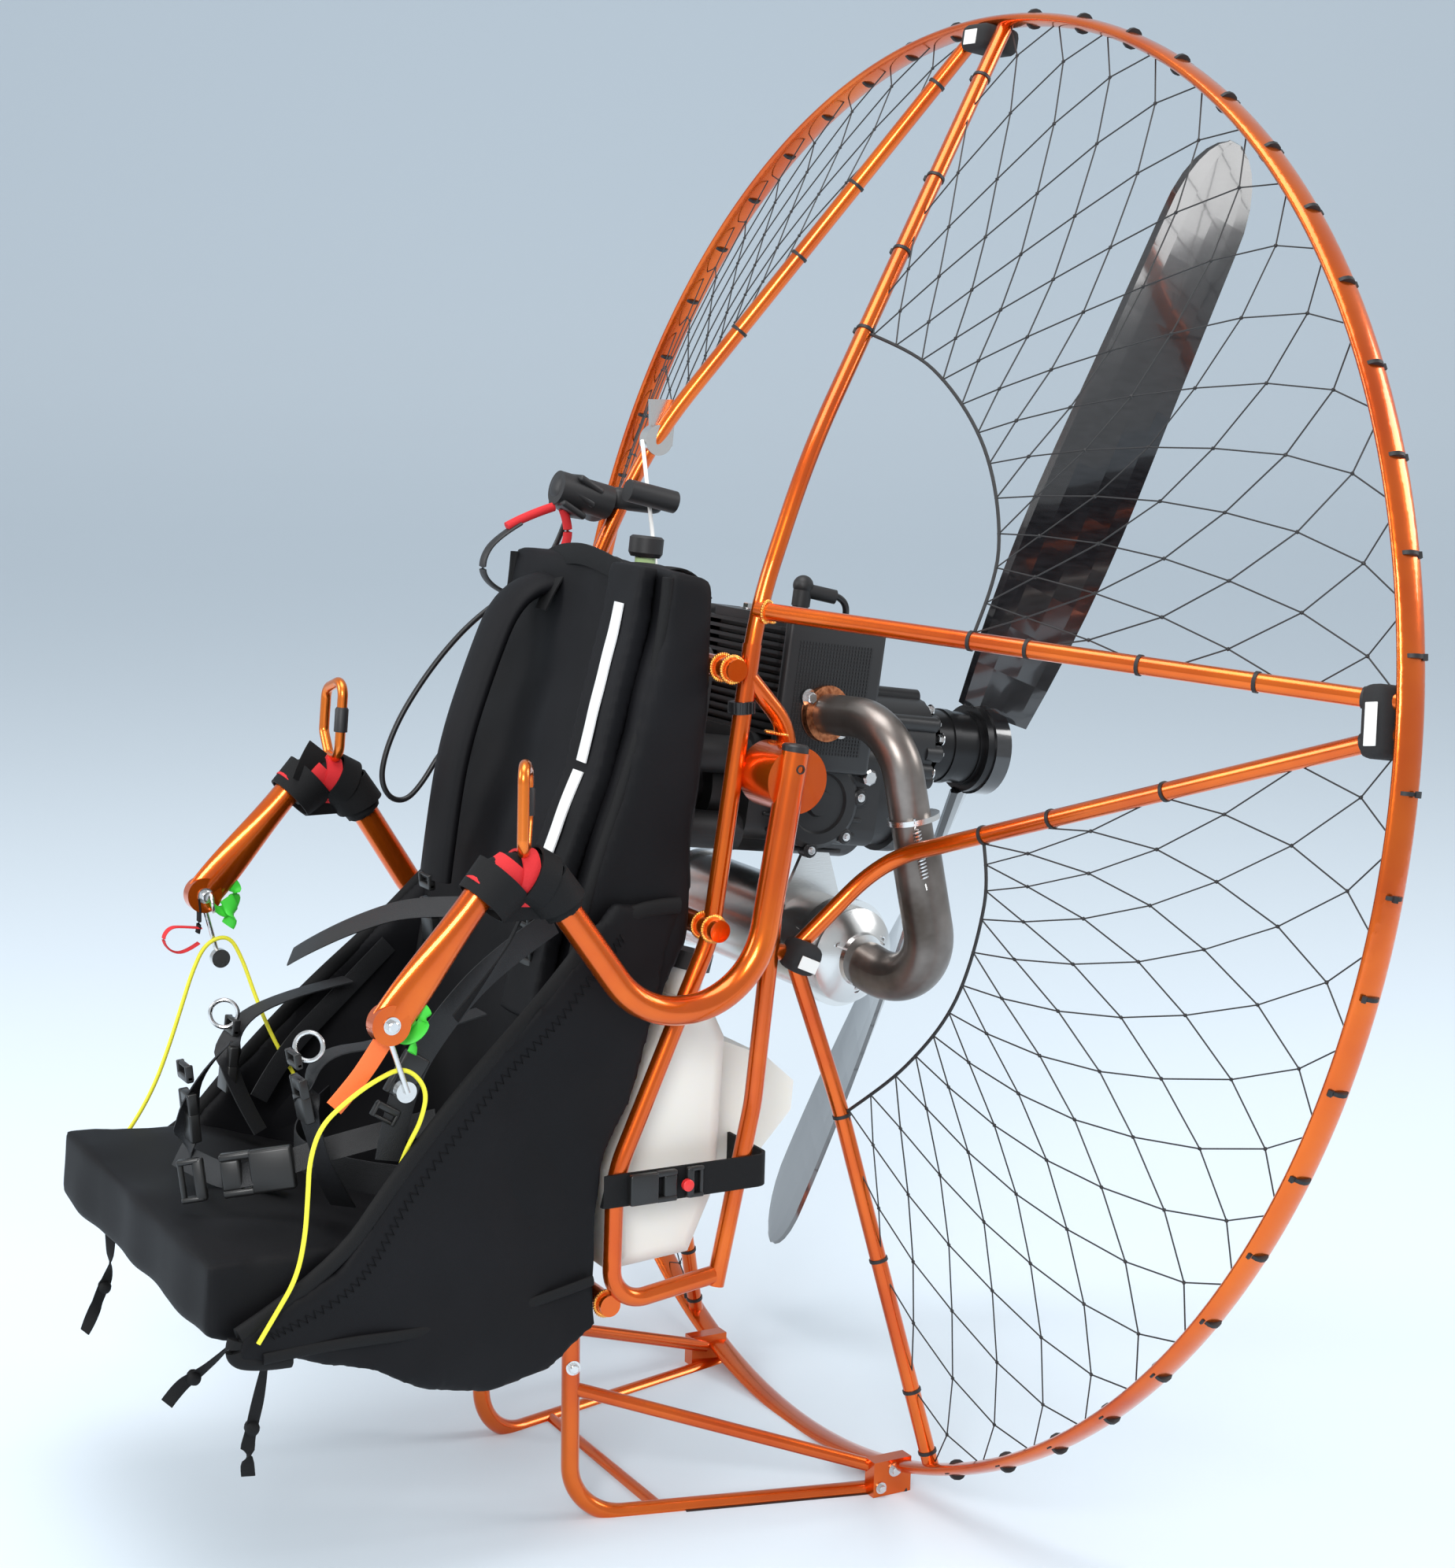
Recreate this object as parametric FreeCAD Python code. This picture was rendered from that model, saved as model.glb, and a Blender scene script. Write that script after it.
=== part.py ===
import FreeCAD
import Part
import math
import os

from FreeCAD import Vector

os.makedirs("parts", exist_ok=True)

# A paramotor standing on its skids, in millimetres.  +X is the pilot's left, -Y is
# the front, +Z is up.  The origin is on the ground under the middle of the machine.
# Places on the chassis are given as (sideways, behind the hoop's centre, up).

# Hoop and cage
hoop_radius = 705.0
hoop_height = 710.9
hoop_tilt = 7.02
hoop_y = 300.0
hoop_depth = 28.0
hoop_thickness = 12.0
side_joint_angle = 80.8
foot_angle = 2 * side_joint_angle
top_spoke_angle = 1.6
spoke_radius = 7.75

# Chassis tubes
frame_x = 170.0
frame_radius = 8.5
cross_radius = 10.0
upper_cross = (-290.0, 813.0)
lower_cross = (-303.0, 581.0)
floor_cross = (-394.0, 240.0)
cross_stub = 22.0
fork = (-261.4, 864.0)
sleeve = (-265.5, 834.0)
lower_node = (-216.0, 550.0)

# Arms
arm_x = 222.0
arm_radius = 13.0
arm_bend = 80.0
elbow_bend = 40.0
pivot = (-246.0, 718.0)
pivot_radius = 30.0
pivot_face_x = 198.0
pivot_gap = 0.5
pivot_pin_radius = 8.0
pivot_pin_clearance = 0.05
lever_bolt = (-630.0, 537.0)
right_arm_lift = 3.8
lever_end_radius = 18.0
lever_thickness = 14.0
wrap_thickness = 5.0
wrap_gap = 0.05
carabiner_height = 88.0
carabiner_width = 54.0
carabiner_radius = 5.0
pulley_centre = (214.0, -612.0, 476.0)
pulley_radius = 9.0
pulley_thickness = 8.0
hanger_x = 219.5
hanger_radius = 2.5

# Skids
skid_radius = 8.5
skid_bar_radius = 6.5
skid_bend = 52.0
skid_corner = (100.0, -397.0)
skid_rear = (178.0, -79.0)
skid_post_top = (104.0, -401.0, 229.0)
skid_cross_y = -313.0
pad_thickness = 3.0
pad_gap = 0.05
pad_flat = 0.4
pad_front_y = -290.0
pad_rear_y = -112.0

# Propeller
prop_radius = 649.0
prop_plane = 101.0
prop_angle = 24.0
hub_thickness = 18.0
hub_radius = 46.0
spacer_radius = 36.0
spacer_gap = 5.0
blade_root = 40.0
blade_chord = 106.0
blade_stations = 20
shaft_radius = 12.0
shaft_clearance = 0.05
shaft_engagement = 12.0

# Engine, along and across the thrust line
crank_drop = 58.0
crankcase_front = -200.0
crankcase_rear = -55.0
crankcase_half_width = 68.0
crankcase_radius = 60.0
gearbox_rear = 25.0
gearbox_radius = 46.0
barrel_front = -195.0
barrel_rear = -99.0
barrel_half_width = 85.0
barrel_bottom = 2.0
barrel_top = 104.0
fin_count = 14
fin_thickness = 3.4
head_thickness = 9.0
plug_behind = -131.0
mount_face = -262.0
mount_plate = 6.0
rubber_radius = 18.0
pipe_radius = 19.0
muffler_radius = 47.0
muffler_ring = 52.0

# Fuel tank
tank_half_width = 150.0
tank_bulge_half_width = 105.0
tank_corner = 16.0
neck_radius = 21.0
strap_height = 366.0
strap_width = 30.0
strap_thickness = 3.0

# Harness
back_half_width = 165.0
wing_thickness = 12.0
wing_gap = 2.0
wing_splay = 7.9
shoulder_width = 66.0
shoulder_thickness = 18.0
soft_gap = 0.5

# Controls
cable_radius = 2.8
yellow_radius = 2.0


def at(sideways, behind, up):
    """A point given sideways, behind the hoop's centre, and up from the ground."""
    return Vector(sideways, hoop_y + behind, up)


def tilt_to_thrust(shape):
    """Carry a shape from the thrust line's own frame to its place on the machine."""
    shape.rotate(Vector(0, 0, 0), Vector(1, 0, 0), -hoop_tilt)
    shape.translate(Vector(0, hoop_y, hoop_height))
    return shape


def hoop_point(angle):
    """A point on the hoop's centreline, by its angle from the top towards +X."""
    turn = math.radians(angle)
    lean = math.radians(hoop_tilt)
    rise = hoop_radius * math.cos(turn)
    sideways = hoop_radius * math.sin(turn)
    return at(sideways, rise * math.sin(lean), hoop_height + rise * math.cos(lean))


def mirrored(shape):
    """The same piece on the machine's other side."""
    return shape.mirror(Vector(0, 0, 0), Vector(1, 0, 0))


def rounded_wire(points, bends):
    """Straight runs through the points, with a tangent arc at each corner."""
    edges = []
    last = points[0]
    for before, corner, after, bend in zip(points, points[1:], points[2:], bends):
        back = (before - corner).normalize()
        ahead = (after - corner).normalize()
        half_turn = (math.pi - back.getAngle(ahead)) / 2
        reach = bend * math.tan(half_turn)
        inward = (back + ahead).normalize() * (bend / math.cos(half_turn) - bend)
        enter = corner + back * reach
        leave = corner + ahead * reach
        edges.append(Part.LineSegment(last, enter).toShape())
        edges.append(Part.Arc(enter, corner + inward, leave).toShape())
        last = leave
    edges.append(Part.LineSegment(last, points[-1]).toShape())
    return Part.Wire(edges)


def tube(points, radius, bends=()):
    """A round bar along straight runs joined by tangent arcs."""
    path = rounded_wire(points, bends)
    ring = Part.Circle(points[0], points[1] - points[0], radius)
    return path.makePipeShell([Part.Wire([ring.toShape()])], True, False)


def rod(start, end, radius):
    """A straight round bar between two points."""
    return Part.makeCylinder(radius, (end - start).Length, start, end - start)


def cord_bends(points):
    """The largest tangent arcs that a cord's runs leave room for."""
    bends = []
    for before, corner, after in zip(points, points[1:], points[2:]):
        back = before - corner
        ahead = after - corner
        half_turn = (math.pi - back.getAngle(ahead)) / 2
        bends.append(0.45 * min(back.Length, ahead.Length) / math.tan(half_turn))
    return bends


def cord(name, points, radius):
    """A free cord as a plain tube, with its radii and volume reported."""
    bends = cord_bends(points)
    shape = tube(points, radius, bends)
    length = rounded_wire(points, bends).Length
    share = shape.Volume / (math.pi * radius * radius * length)
    print(name, "length", round(length, 1), "volume share", round(share, 4))
    print(name, "radii", [round(bend, 1) for bend in bends])
    return shape


def slab(outline, half_width, centre_x=0.0):
    """A plate across the machine, from its outline as (behind, up) points."""
    points = [at(centre_x - half_width, behind, up) for behind, up in outline]
    face = Part.Face(Part.makePolygon(points + points[:1]))
    return face.extrude(Vector(2 * half_width, 0, 0))


def block(low, high):
    """A box between two corners."""
    size = high - low
    return Part.makeBox(size.x, size.y, size.z, low)


def rounded_block(low, high, radius, direction):
    """A box whose edges along one direction are rounded."""
    box = block(low, high)
    edges = []
    for edge in box.Edges:
        if abs(edge.tangentAt(edge.FirstParameter).dot(direction)) > 0.99:
            edges.append(edge)
    return box.makeFillet(radius, edges)


def fused(pieces):
    """One solid from pieces that meet."""
    whole = pieces[0]
    for piece in pieces[1:]:
        whole = whole.fuse(piece)
    return whole


def save(name, shape):
    """Write one sub-part."""
    shape.exportStep("parts/" + name + ".step")
    print(name, len(shape.Solids), "solids", round(shape.Volume / 1000, 1), "cm3", shape.isValid())


def hoop_section(first, last):
    """A length of the hoop's oval tube between two angles."""
    centre = Vector(0, 0, hoop_radius)
    long_axis = centre + Vector(0, hoop_depth / 2, 0)
    short_axis = centre + Vector(0, 0, hoop_thickness / 2)
    oval = Part.Ellipse(long_axis, short_axis, centre)
    face = Part.Face(Part.Wire([oval.toShape()]))
    face.rotate(Vector(0, 0, 0), Vector(0, 1, 0), first)
    ring = face.revolve(Vector(0, 0, 0), Vector(0, 1, 0), last - first)
    return tilt_to_thrust(ring)


def upper_cage():
    """A quarter of the hoop with its top spoke, its side spoke and the socket."""
    ring = hoop_section(0, side_joint_angle)
    socket = at(frame_x, *sleeve)
    joint = at(frame_x, *fork)
    bend = at(152, -203, 1000)
    top = hoop_point(top_spoke_angle)
    top_spoke = tube([socket, joint, bend, top], spoke_radius, (300, 500))
    side_spoke = rod(hoop_point(side_joint_angle - 0.9), joint, spoke_radius)
    return fused([ring, top_spoke, side_spoke])


def lower_cage(side_frame):
    """A quarter of the hoop with its side spoke and its bottom spoke."""
    ring = hoop_section(side_joint_angle, foot_angle)
    node = at(frame_x, *lower_node)
    side = hoop_point(side_joint_angle + 0.9)
    side_spoke = tube([side, at(198, -138, 636), node], spoke_radius, (90,))
    foot = hoop_point(foot_angle - 0.9)
    bottom_spoke = tube([node, at(181, -166, 404), foot], spoke_radius, (400,))
    saddle = rod(node, node + Vector(0, -20, 3), spoke_radius)
    ball = Part.makeSphere(spoke_radius, node)
    return fused([ring, side_spoke, bottom_spoke, ball, saddle]).cut(side_frame)


def side_frame():
    """The upright, the two tank tubes and the arm's pivot disc of the left side."""
    front = [sleeve, (-301, 572), (-392, 362), floor_cross, (-290, 254)]
    rear = [(-287, 244), (-252, 413), (-238, 560), (-225, 756), (-270, 806)]
    front_tube = tube([at(frame_x, *place) for place in front], frame_radius, (120, 120, 30))
    rear_tube = tube([at(frame_x, *place) for place in rear], frame_radius, (160, 160, 60))
    disc = rod(at(frame_x, *pivot), at(pivot_face_x, *pivot), pivot_radius)
    boss = rod(at(frame_x - frame_radius, *pivot), at(frame_x, *pivot), pivot_radius - 12)
    frame = fused([front_tube, rear_tube, disc, boss])
    bore_radius = pivot_pin_radius + pivot_pin_clearance
    bore = rod(at(frame_x - 30, *pivot), at(pivot_face_x + 1, *pivot), bore_radius)
    return frame.cut(bore)


def cross_tube(place, reach, carriers):
    """A tube across the chassis, fitted between the side frames."""
    bar = rod(at(-reach, *place), at(reach, *place), cross_radius)
    return bar.cut(carriers)


def arm_route():
    """The centreline of the arm, from its top end to its lever."""
    places = [(-249, 744), (-286, 521), (-398, 522), (-513, 677), (-551, 638)]
    return [at(arm_x, *place) for place in places]


def arm():
    """The bent arm tube with its pivot disc and pin."""
    bar = tube(arm_route(), arm_radius, (arm_bend, arm_bend, elbow_bend))
    disc = rod(at(pivot_face_x + pivot_gap, *pivot), at(arm_x, *pivot), pivot_radius)
    pin = rod(at(frame_x - frame_radius, *pivot), at(arm_x, *pivot), pivot_pin_radius)
    return fused([bar, disc, pin])


def right_hand(shape):
    """A left arm's piece carried over to the right arm, which hangs a little higher."""
    copy = mirrored(shape)
    copy.rotate(at(0, *pivot), Vector(1, 0, 0), -right_arm_lift)
    return copy


def lever():
    """The flattened end of the arm, from a round to an oval and a bolted eye."""
    start = arm_route()[-1]
    end = at(arm_x, *lever_bolt)
    along = (end - start).normalize()
    across = Vector(1, 0, 0)
    wide = along.cross(across)
    length = (end - start).Length
    sections = []
    shapes = [(0.0, arm_radius, arm_radius - 0.01), (0.45, 15.5, 10.5)]
    shapes.append((0.8, lever_end_radius, lever_thickness / 2 + 1))
    shapes.append((1.0, lever_end_radius - 0.4, lever_thickness / 2))
    for share, half_wide, half_thick in shapes:
        centre = start + along * (length * share)
        rim = Part.Ellipse(centre + wide * half_wide, centre + across * half_thick, centre)
        sections.append(Part.Wire([rim.toShape()]))
    body = Part.makeLoft(sections, True, False)
    half = Vector(lever_thickness / 2, 0, 0)
    eye = rod(end - half, end + half, lever_end_radius - 1)
    return fused([body, eye])


def arm_wrap(lever_shape):
    """The cloth sleeve bound round the arm's elbow."""
    route = arm_route()
    entry = route[3] + (route[2] - route[3]).normalize() * 72
    exit_place = route[3] + (route[4] - route[3]).normalize() * 56
    sleeve_points = [entry, route[3], exit_place]
    outer = tube(sleeve_points, arm_radius + wrap_thickness, (elbow_bend,))
    bore = tube(route[2:5], arm_radius + wrap_gap, (elbow_bend,))
    return outer.cut(bore).cut(lever_shape)


def carabiner(centre_x, width_way, wrap_shape):
    """A D-shaped snap link standing on the wrapped elbow."""
    foot = at(centre_x, -509, 673.5)
    half = carabiner_width / 2 - carabiner_radius
    tall = carabiner_height - 2 * carabiner_radius
    up = Vector(0, 0, 1)
    spine_low = foot - width_way * half
    spine_high = foot - width_way * half + up * tall
    gate_high = foot + width_way * half + up * (tall - 14)
    gate_low = foot + width_way * half + up * 22
    middle = spine_low + up * (tall / 2)
    nose = foot + width_way * 4
    corners = [middle, spine_high, gate_high, gate_low, nose, spine_low, middle]
    loop = tube(corners, carabiner_radius, (13, 13, 11, 11, 13))
    return loop.cut(wrap_shape)


def pulley(lever_shape):
    """The small block that hangs from the lever's bolt for the speed cord."""
    centre = at(*pulley_centre)
    half = Vector(pulley_thickness / 2, 0, 0)
    wheel = rod(centre - half, centre + half, pulley_radius)
    hook = at(hanger_x, lever_bolt[0] + 2, lever_bolt[1] - lever_end_radius + 4)
    hanger = rod(at(hanger_x, *pulley_centre[1:]), hook, hanger_radius)
    return fused([wheel, hanger]).cut(lever_shape)


def skid():
    """The left skid: a bent post and runner, its top bar and its rear lug."""
    height = skid_radius + pad_thickness - pad_flat
    corner = at(*skid_corner, height)
    post_top = at(*skid_post_top)
    rear = at(*skid_rear, height)
    runner = tube([post_top, corner, rear], skid_radius, (skid_bend,))
    bar = rod(at(102.5, -400, 140), at(178, -100, 33), skid_bar_radius)
    lug = block(at(174, -118, height), at(190, -76, 46))
    return fused([runner, bar, lug])


def runner_pad():
    """The rubber strip under a runner, flat where it meets the ground."""
    height = skid_radius + pad_thickness - pad_flat
    corner = at(*skid_corner, height)
    rear = at(*skid_rear, height)
    along = (rear - corner).normalize()
    first = corner + along * ((pad_front_y - skid_corner[1]) / along.y)
    last = corner + along * ((pad_rear_y - skid_corner[1]) / along.y)
    outer = rod(first, last, skid_radius + pad_thickness)
    keep = block(Vector(-400, -600, 0), Vector(400, 600, height))
    groove = rod(first - along, last + along, skid_radius + pad_gap)
    return outer.common(keep).cut(groove)


def blade_section(radius, chord, thickness, pitch):
    """One closed section of a blade, across its length."""
    places = []
    top = [(0.5, 0.0), (0.35, 0.42), (0.1, 0.8), (-0.2, 1.0), (-0.42, 0.75), (-0.5, 0.1)]
    under = [(-0.42, -0.35), (-0.2, -0.4), (0.1, -0.3), (0.35, -0.15)]
    turn = math.radians(pitch)
    for share, height in top + under:
        across = share * chord
        deep = height * thickness / 2
        x = across * math.cos(turn) - deep * math.sin(turn)
        y = across * math.sin(turn) + deep * math.cos(turn)
        places.append(Vector(x, y, radius))
    return Part.makePolygon(places + places[:1])


def blade():
    """One blade standing up from the hub, from its root to its rounded tip."""
    wires = []
    for step in range(blade_stations + 1):
        share = step / blade_stations
        radius = blade_root + (prop_radius - blade_root) * math.sin(share * math.pi / 2)
        reach = radius / prop_radius
        tip = math.sqrt(max(1 - ((reach - 0.88) / 0.12) ** 2, 0.0)) if reach > 0.88 else 1.0
        taper = 0.62 + 0.38 * math.sin(min(reach / 0.5, 1.0) * math.pi / 2) - 0.12 * reach ** 3
        chord = blade_chord * taper * max(tip, 0.18)
        thickness = 17 - 13.5 * reach
        pitch = 14 + 44 * (1 - reach) ** 2.2
        wires.append(blade_section(radius, chord, thickness, pitch))
    return Part.makeLoft(wires, True, True)


def propeller():
    """Two broad blades and the hub between them, in one moulding."""
    upper = blade()
    lower = blade()
    lower.rotate(Vector(0, 0, 0), Vector(0, 1, 0), 180)
    face = Vector(0, -hub_thickness / 2, 0)
    hub = Part.makeCylinder(hub_radius, hub_thickness, face, Vector(0, 1, 0))
    shape = fused([hub, upper, lower])
    shape.rotate(Vector(0, 0, 0), Vector(0, 1, 0), prop_angle)
    shape.translate(Vector(0, prop_plane, 0))
    return tilt_to_thrust(shape)


def hub_spacer():
    """The spacer and shaft that carry the propeller behind the gearbox."""
    way = Vector(0, 1, 0)
    front = gearbox_rear + spacer_gap
    rear = prop_plane - hub_thickness / 2
    drum = Part.makeCylinder(spacer_radius, rear - front, Vector(0, front, 0), way)
    rim = Part.makeCylinder(spacer_radius + 8, 9, Vector(0, rear - 9, 0), way)
    start = gearbox_rear - shaft_engagement
    shaft = Part.makeCylinder(shaft_radius, front - start, Vector(0, start, 0), way)
    return tilt_to_thrust(fused([drum, rim, shaft]))


def gearbox():
    """The reduction housing behind the crankcase, bored for the shaft."""
    way = Vector(0, 1, 0)
    depth = gearbox_rear - crankcase_rear
    low = Part.makeCylinder(gearbox_radius, depth - 22, Vector(0, crankcase_rear, -crank_drop), way)
    high = Part.makeCylinder(gearbox_radius, depth - 8, Vector(0, crankcase_rear, 0), way)
    waist_low = Vector(-gearbox_radius, crankcase_rear, -crank_drop)
    waist = block(waist_low, Vector(gearbox_radius, gearbox_rear - 22, 0))
    nose = Part.makeCylinder(gearbox_radius - 12, 8, Vector(0, gearbox_rear - 8, 0), way)
    shape = fused([low, high, waist, nose])
    for turn in range(30, 360, 60):
        place = Vector(gearbox_radius * math.cos(math.radians(turn)), crankcase_rear, 0)
        place.z = gearbox_radius * math.sin(math.radians(turn))
        if place.z > -gearbox_radius / 2 - 1:
            shape = shape.fuse(Part.makeCylinder(8, depth - 8, place, way))
    bore_start = Vector(0, gearbox_rear - shaft_engagement - 1, 0)
    bore = Part.makeCylinder(shaft_radius + shaft_clearance, shaft_engagement + 2, bore_start, way)
    return tilt_to_thrust(shape.cut(bore))


def crankcase():
    """The crankcase: a rounded housing with the crank chamber round its axis."""
    low = Vector(-crankcase_half_width, crankcase_front, -crank_drop - 42)
    high = Vector(crankcase_half_width, crankcase_rear, barrel_bottom)
    housing = rounded_block(low, high, 18, Vector(0, 1, 0))
    start = Vector(0, crankcase_front, -crank_drop)
    chamber = Part.makeCylinder(crankcase_radius, crankcase_rear - crankcase_front, start, Vector(0, 1, 0))
    return tilt_to_thrust(fused([housing, chamber]))


def starter_cover():
    """The pull starter's round cover on the front of the crankcase."""
    way = Vector(0, 1, 0)
    drum = Part.makeCylinder(42, 26, Vector(0, crankcase_front - 26, -crank_drop), way)
    nose = Part.makeCylinder(24, 10, Vector(0, crankcase_front - 36, -crank_drop), way)
    return tilt_to_thrust(fused([drum, nose]))


def barrel():
    """The finned cylinder: a core and a stack of thin plates."""
    core_low = Vector(-barrel_half_width + 22, barrel_front + 14, barrel_bottom)
    core_high = Vector(barrel_half_width - 22, barrel_rear - 14, barrel_top)
    pieces = [block(core_low, core_high)]
    pitch = (barrel_top - barrel_bottom - fin_thickness) / (fin_count - 1)
    for index in range(fin_count):
        base = barrel_bottom + index * pitch
        low = Vector(-barrel_half_width, barrel_front, base)
        high = Vector(barrel_half_width, barrel_rear, base + fin_thickness)
        pieces.append(rounded_block(low, high, 9, Vector(0, 0, 1)))
    port = Part.makeCylinder(24, 34, Vector(barrel_half_width - 34, -148, 40), Vector(1, 0, 0))
    pieces.append(port)
    return tilt_to_thrust(fused(pieces))


def cylinder_head():
    """The head on the barrel and the plug that stands on it."""
    low = Vector(-barrel_half_width + 12, barrel_front + 6, barrel_top)
    high = Vector(barrel_half_width - 12, barrel_rear - 6, barrel_top + head_thickness)
    plate = rounded_block(low, high, 14, Vector(0, 0, 1))
    base = Vector(0, plug_behind, barrel_top + head_thickness - 1)
    return tilt_to_thrust(fused([plate, Part.makeCylinder(8, 11, base, Vector(0, 0, 1))]))


def plug_cap():
    """The elbowed cap of the spark plug."""
    base = Vector(0, plug_behind, barrel_top + head_thickness + 10)
    top = base + Vector(0, 0, 24)
    upright = Part.makeCylinder(9, 24, base, Vector(0, 0, 1))
    spout = Part.makeCylinder(7, 34, top + Vector(0, 0, -8), Vector(0.25, 1, -0.1))
    knob = Part.makeSphere(10, top + Vector(0, 0, -4))
    return tilt_to_thrust(fused([upright, knob, spout]))


def on_thrust_line(place):
    """How far behind and above the hoop's centre a place lies, along the thrust line."""
    lean = math.radians(hoop_tilt)
    behind = place[0]
    up = place[1] - hoop_height
    along = behind * math.cos(lean) - up * math.sin(lean)
    return along, behind * math.sin(lean) + up * math.cos(lean)


def engine_mount(cross_tubes):
    """The plate between the rubber mounts and the chassis cross tubes."""
    low = Vector(-78, mount_face - mount_plate, -176)
    pieces = [rounded_block(low, Vector(78, mount_face, 78), 16, Vector(0, 1, 0))]
    for place in (upper_cross, lower_cross):
        along, up = on_thrust_line(place)
        for side in (-55, 55):
            start = Vector(side, along, up)
            pieces.append(Part.makeCylinder(8, mount_face - 1 - along, start, Vector(0, 1, 0)))
    return tilt_to_thrust(fused(pieces)).cut(cross_tubes)


def rubber_mounts():
    """Four rubber isolators between the plate and the crankcase."""
    pieces = []
    for side in (-48, 48):
        for up in (-22, -94):
            start = Vector(side, mount_face, up)
            pieces.append(Part.makeCylinder(rubber_radius, crankcase_front - mount_face, start, Vector(0, 1, 0)))
    return tilt_to_thrust(Part.Compound(pieces))


def carburettor():
    """The carburettor on the crankcase's right side."""
    body = Part.makeCylinder(22, 46, Vector(-crankcase_half_width, -120, -52), Vector(-1, 0, 0))
    bowl = Part.makeCylinder(17, 40, Vector(-crankcase_half_width - 24, -120, -92), Vector(0, 0, 1))
    return tilt_to_thrust(fused([body, bowl]))


def air_box():
    """The moulded intake silencer outside the carburettor."""
    inner = -crankcase_half_width - 46
    low = Vector(inner - 58, -178, -112)
    box = rounded_block(low, Vector(inner, -62, 12), 24, Vector(1, 0, 0))
    return tilt_to_thrust(box)


def muffler_axis():
    """The two ends of the muffler's axis."""
    return at(108, -118, 528), at(-132, -148, 541)


def exhaust_pipe(barrel_shape):
    """The exhaust pipe, from its flange out, down and back to the muffler."""
    near, far = muffler_axis()
    start = at(barrel_half_width + 2, -143, 757)
    first = at(193, -127, 761)
    second = at(209, -75, 490)
    upper = tube([start, first, second, near + (near - far).normalize() * 3], pipe_radius, (54, 50))
    sleeve_top = first + (second - first) * 0.44
    lower = tube([sleeve_top, second, near + (near - far).normalize() * 3], pipe_radius + 4, (50,))
    way = (first - start).normalize()
    flange = Part.makeCylinder(27, 7, start - way, way)
    return fused([upper, lower, flange]).cut(barrel_shape)


def muffler():
    """The silencer can lying across the machine, with an end ring."""
    near, far = muffler_axis()
    way = (near - far).normalize()
    can = rod(far, near, muffler_radius)
    ring = rod(near - way * 16, near, muffler_ring)
    cap = rod(far, far + way * 10, muffler_ring - 2)
    return fused([can, ring, cap])


def muffler_bracket(neighbours):
    """The three-cornered plate that hangs the muffler from the crankcase."""
    outline = [(-160, 568), (-92, 566), (-108, 618), (-136, 618)]
    return slab(outline, 2.5, 52).cut(neighbours)


def fuel_tank():
    """The moulded tank between the side tubes, with its bulge to the rear."""
    main = [(-382, 262), (-300, 268), (-272, 330), (-266, 470), (-282, 502)]
    main += [(-322, 512), (-345, 486), (-376, 404), (-392, 360)]
    body = slab(main, tank_half_width)
    across = []
    for edge in body.Edges:
        if abs(edge.tangentAt(edge.FirstParameter).x) < 0.1:
            across.append(edge)
    body = body.makeFillet(tank_corner, across)
    bulge = slab([(-300, 300), (-222, 326), (-172, 380), (-170, 408), (-202, 436), (-280, 468)],
                 tank_bulge_half_width)
    neck = rod(at(104, -300, 500), at(104, -292, 530), neck_radius)
    return fused([body, bulge, neck])


def tank_cap():
    """The filler cap on the tank's neck."""
    return rod(at(104, -292, 530), at(104, -288, 546), neck_radius + 4)


def tank_strap(neighbours):
    """The band round the side tubes that holds the tank, meeting it at its bulge."""
    reach = frame_x + frame_radius + strap_thickness
    low = strap_height - strap_width
    outer = rounded_block(at(-reach, -415, low), at(reach, -238, strap_height), 14, Vector(0, 0, 1))
    inner = rounded_block(at(strap_thickness - reach, strap_thickness - 415, low - 1),
                          at(reach - strap_thickness, -238 - strap_thickness, strap_height + 1),
                          11, Vector(0, 0, 1))
    hidden = back_half_width + 2 * wing_gap + 0.5
    front = block(at(-hidden, -420, low - 1), at(hidden, -350, strap_height + 1))
    return outer.cut(inner).cut(front).cut(neighbours)


def back_outline():
    """The back pad's outline, from its rear top corner down and back up."""
    rear = [(-300, 892), (-305, 813), (-311, 700), (-320, 590), (-324, 560), (-364, 459)]
    rear += [(-405, 376), (-410, 262)]
    front = [(-468, 262), (-462, 380), (-446, 500), (-421, 619), (-385, 715), (-352, 846)]
    front += [(-343, 900)]
    return rear + front


def harness_back(neighbours):
    """The padded back of the seat, leaning against the chassis."""
    return slab(back_outline(), back_half_width).cut(neighbours)


def harness_wing():
    """The left side panel of the seat, splayed towards its front."""
    outline = [(-330, 604), (-402, 608), (-473, 531), (-545, 469), (-616, 396), (-672, 328)]
    outline += [(-764, 290), (-772, 268), (-713, 262), (-615, 222), (-527, 190), (-467, 196)]
    outline += [(-414, 226), (-411, 330), (-404, 380), (-372, 450)]
    panel = slab(outline, wing_thickness / 2, back_half_width + wing_gap + wing_thickness / 2)
    hinge = at(back_half_width + wing_gap, -404, 0)
    panel.rotate(hinge, Vector(0, 0, 1), wing_splay)
    return panel


def seat(wings, back):
    """The seat board's hammock between the two side panels."""
    outline = [(-412, 262), (-466, 261), (-540, 318), (-660, 344), (-782, 350), (-785, 286)]
    outline += [(-713, 266), (-615, 226), (-527, 196), (-467, 200), (-414, 230)]
    prism = slab(outline, 260)
    plan = [(back_half_width, -404), (back_half_width, -440), (216, -790)]
    points = [at(x, behind, 0) for x, behind in plan]
    points += [at(-x, behind, 0) for x, behind in reversed(plan)]
    keep = Part.Face(Part.makePolygon(points + points[:1])).extrude(Vector(0, 0, 500))
    return prism.common(keep).cut(back).cut(wings)


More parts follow.
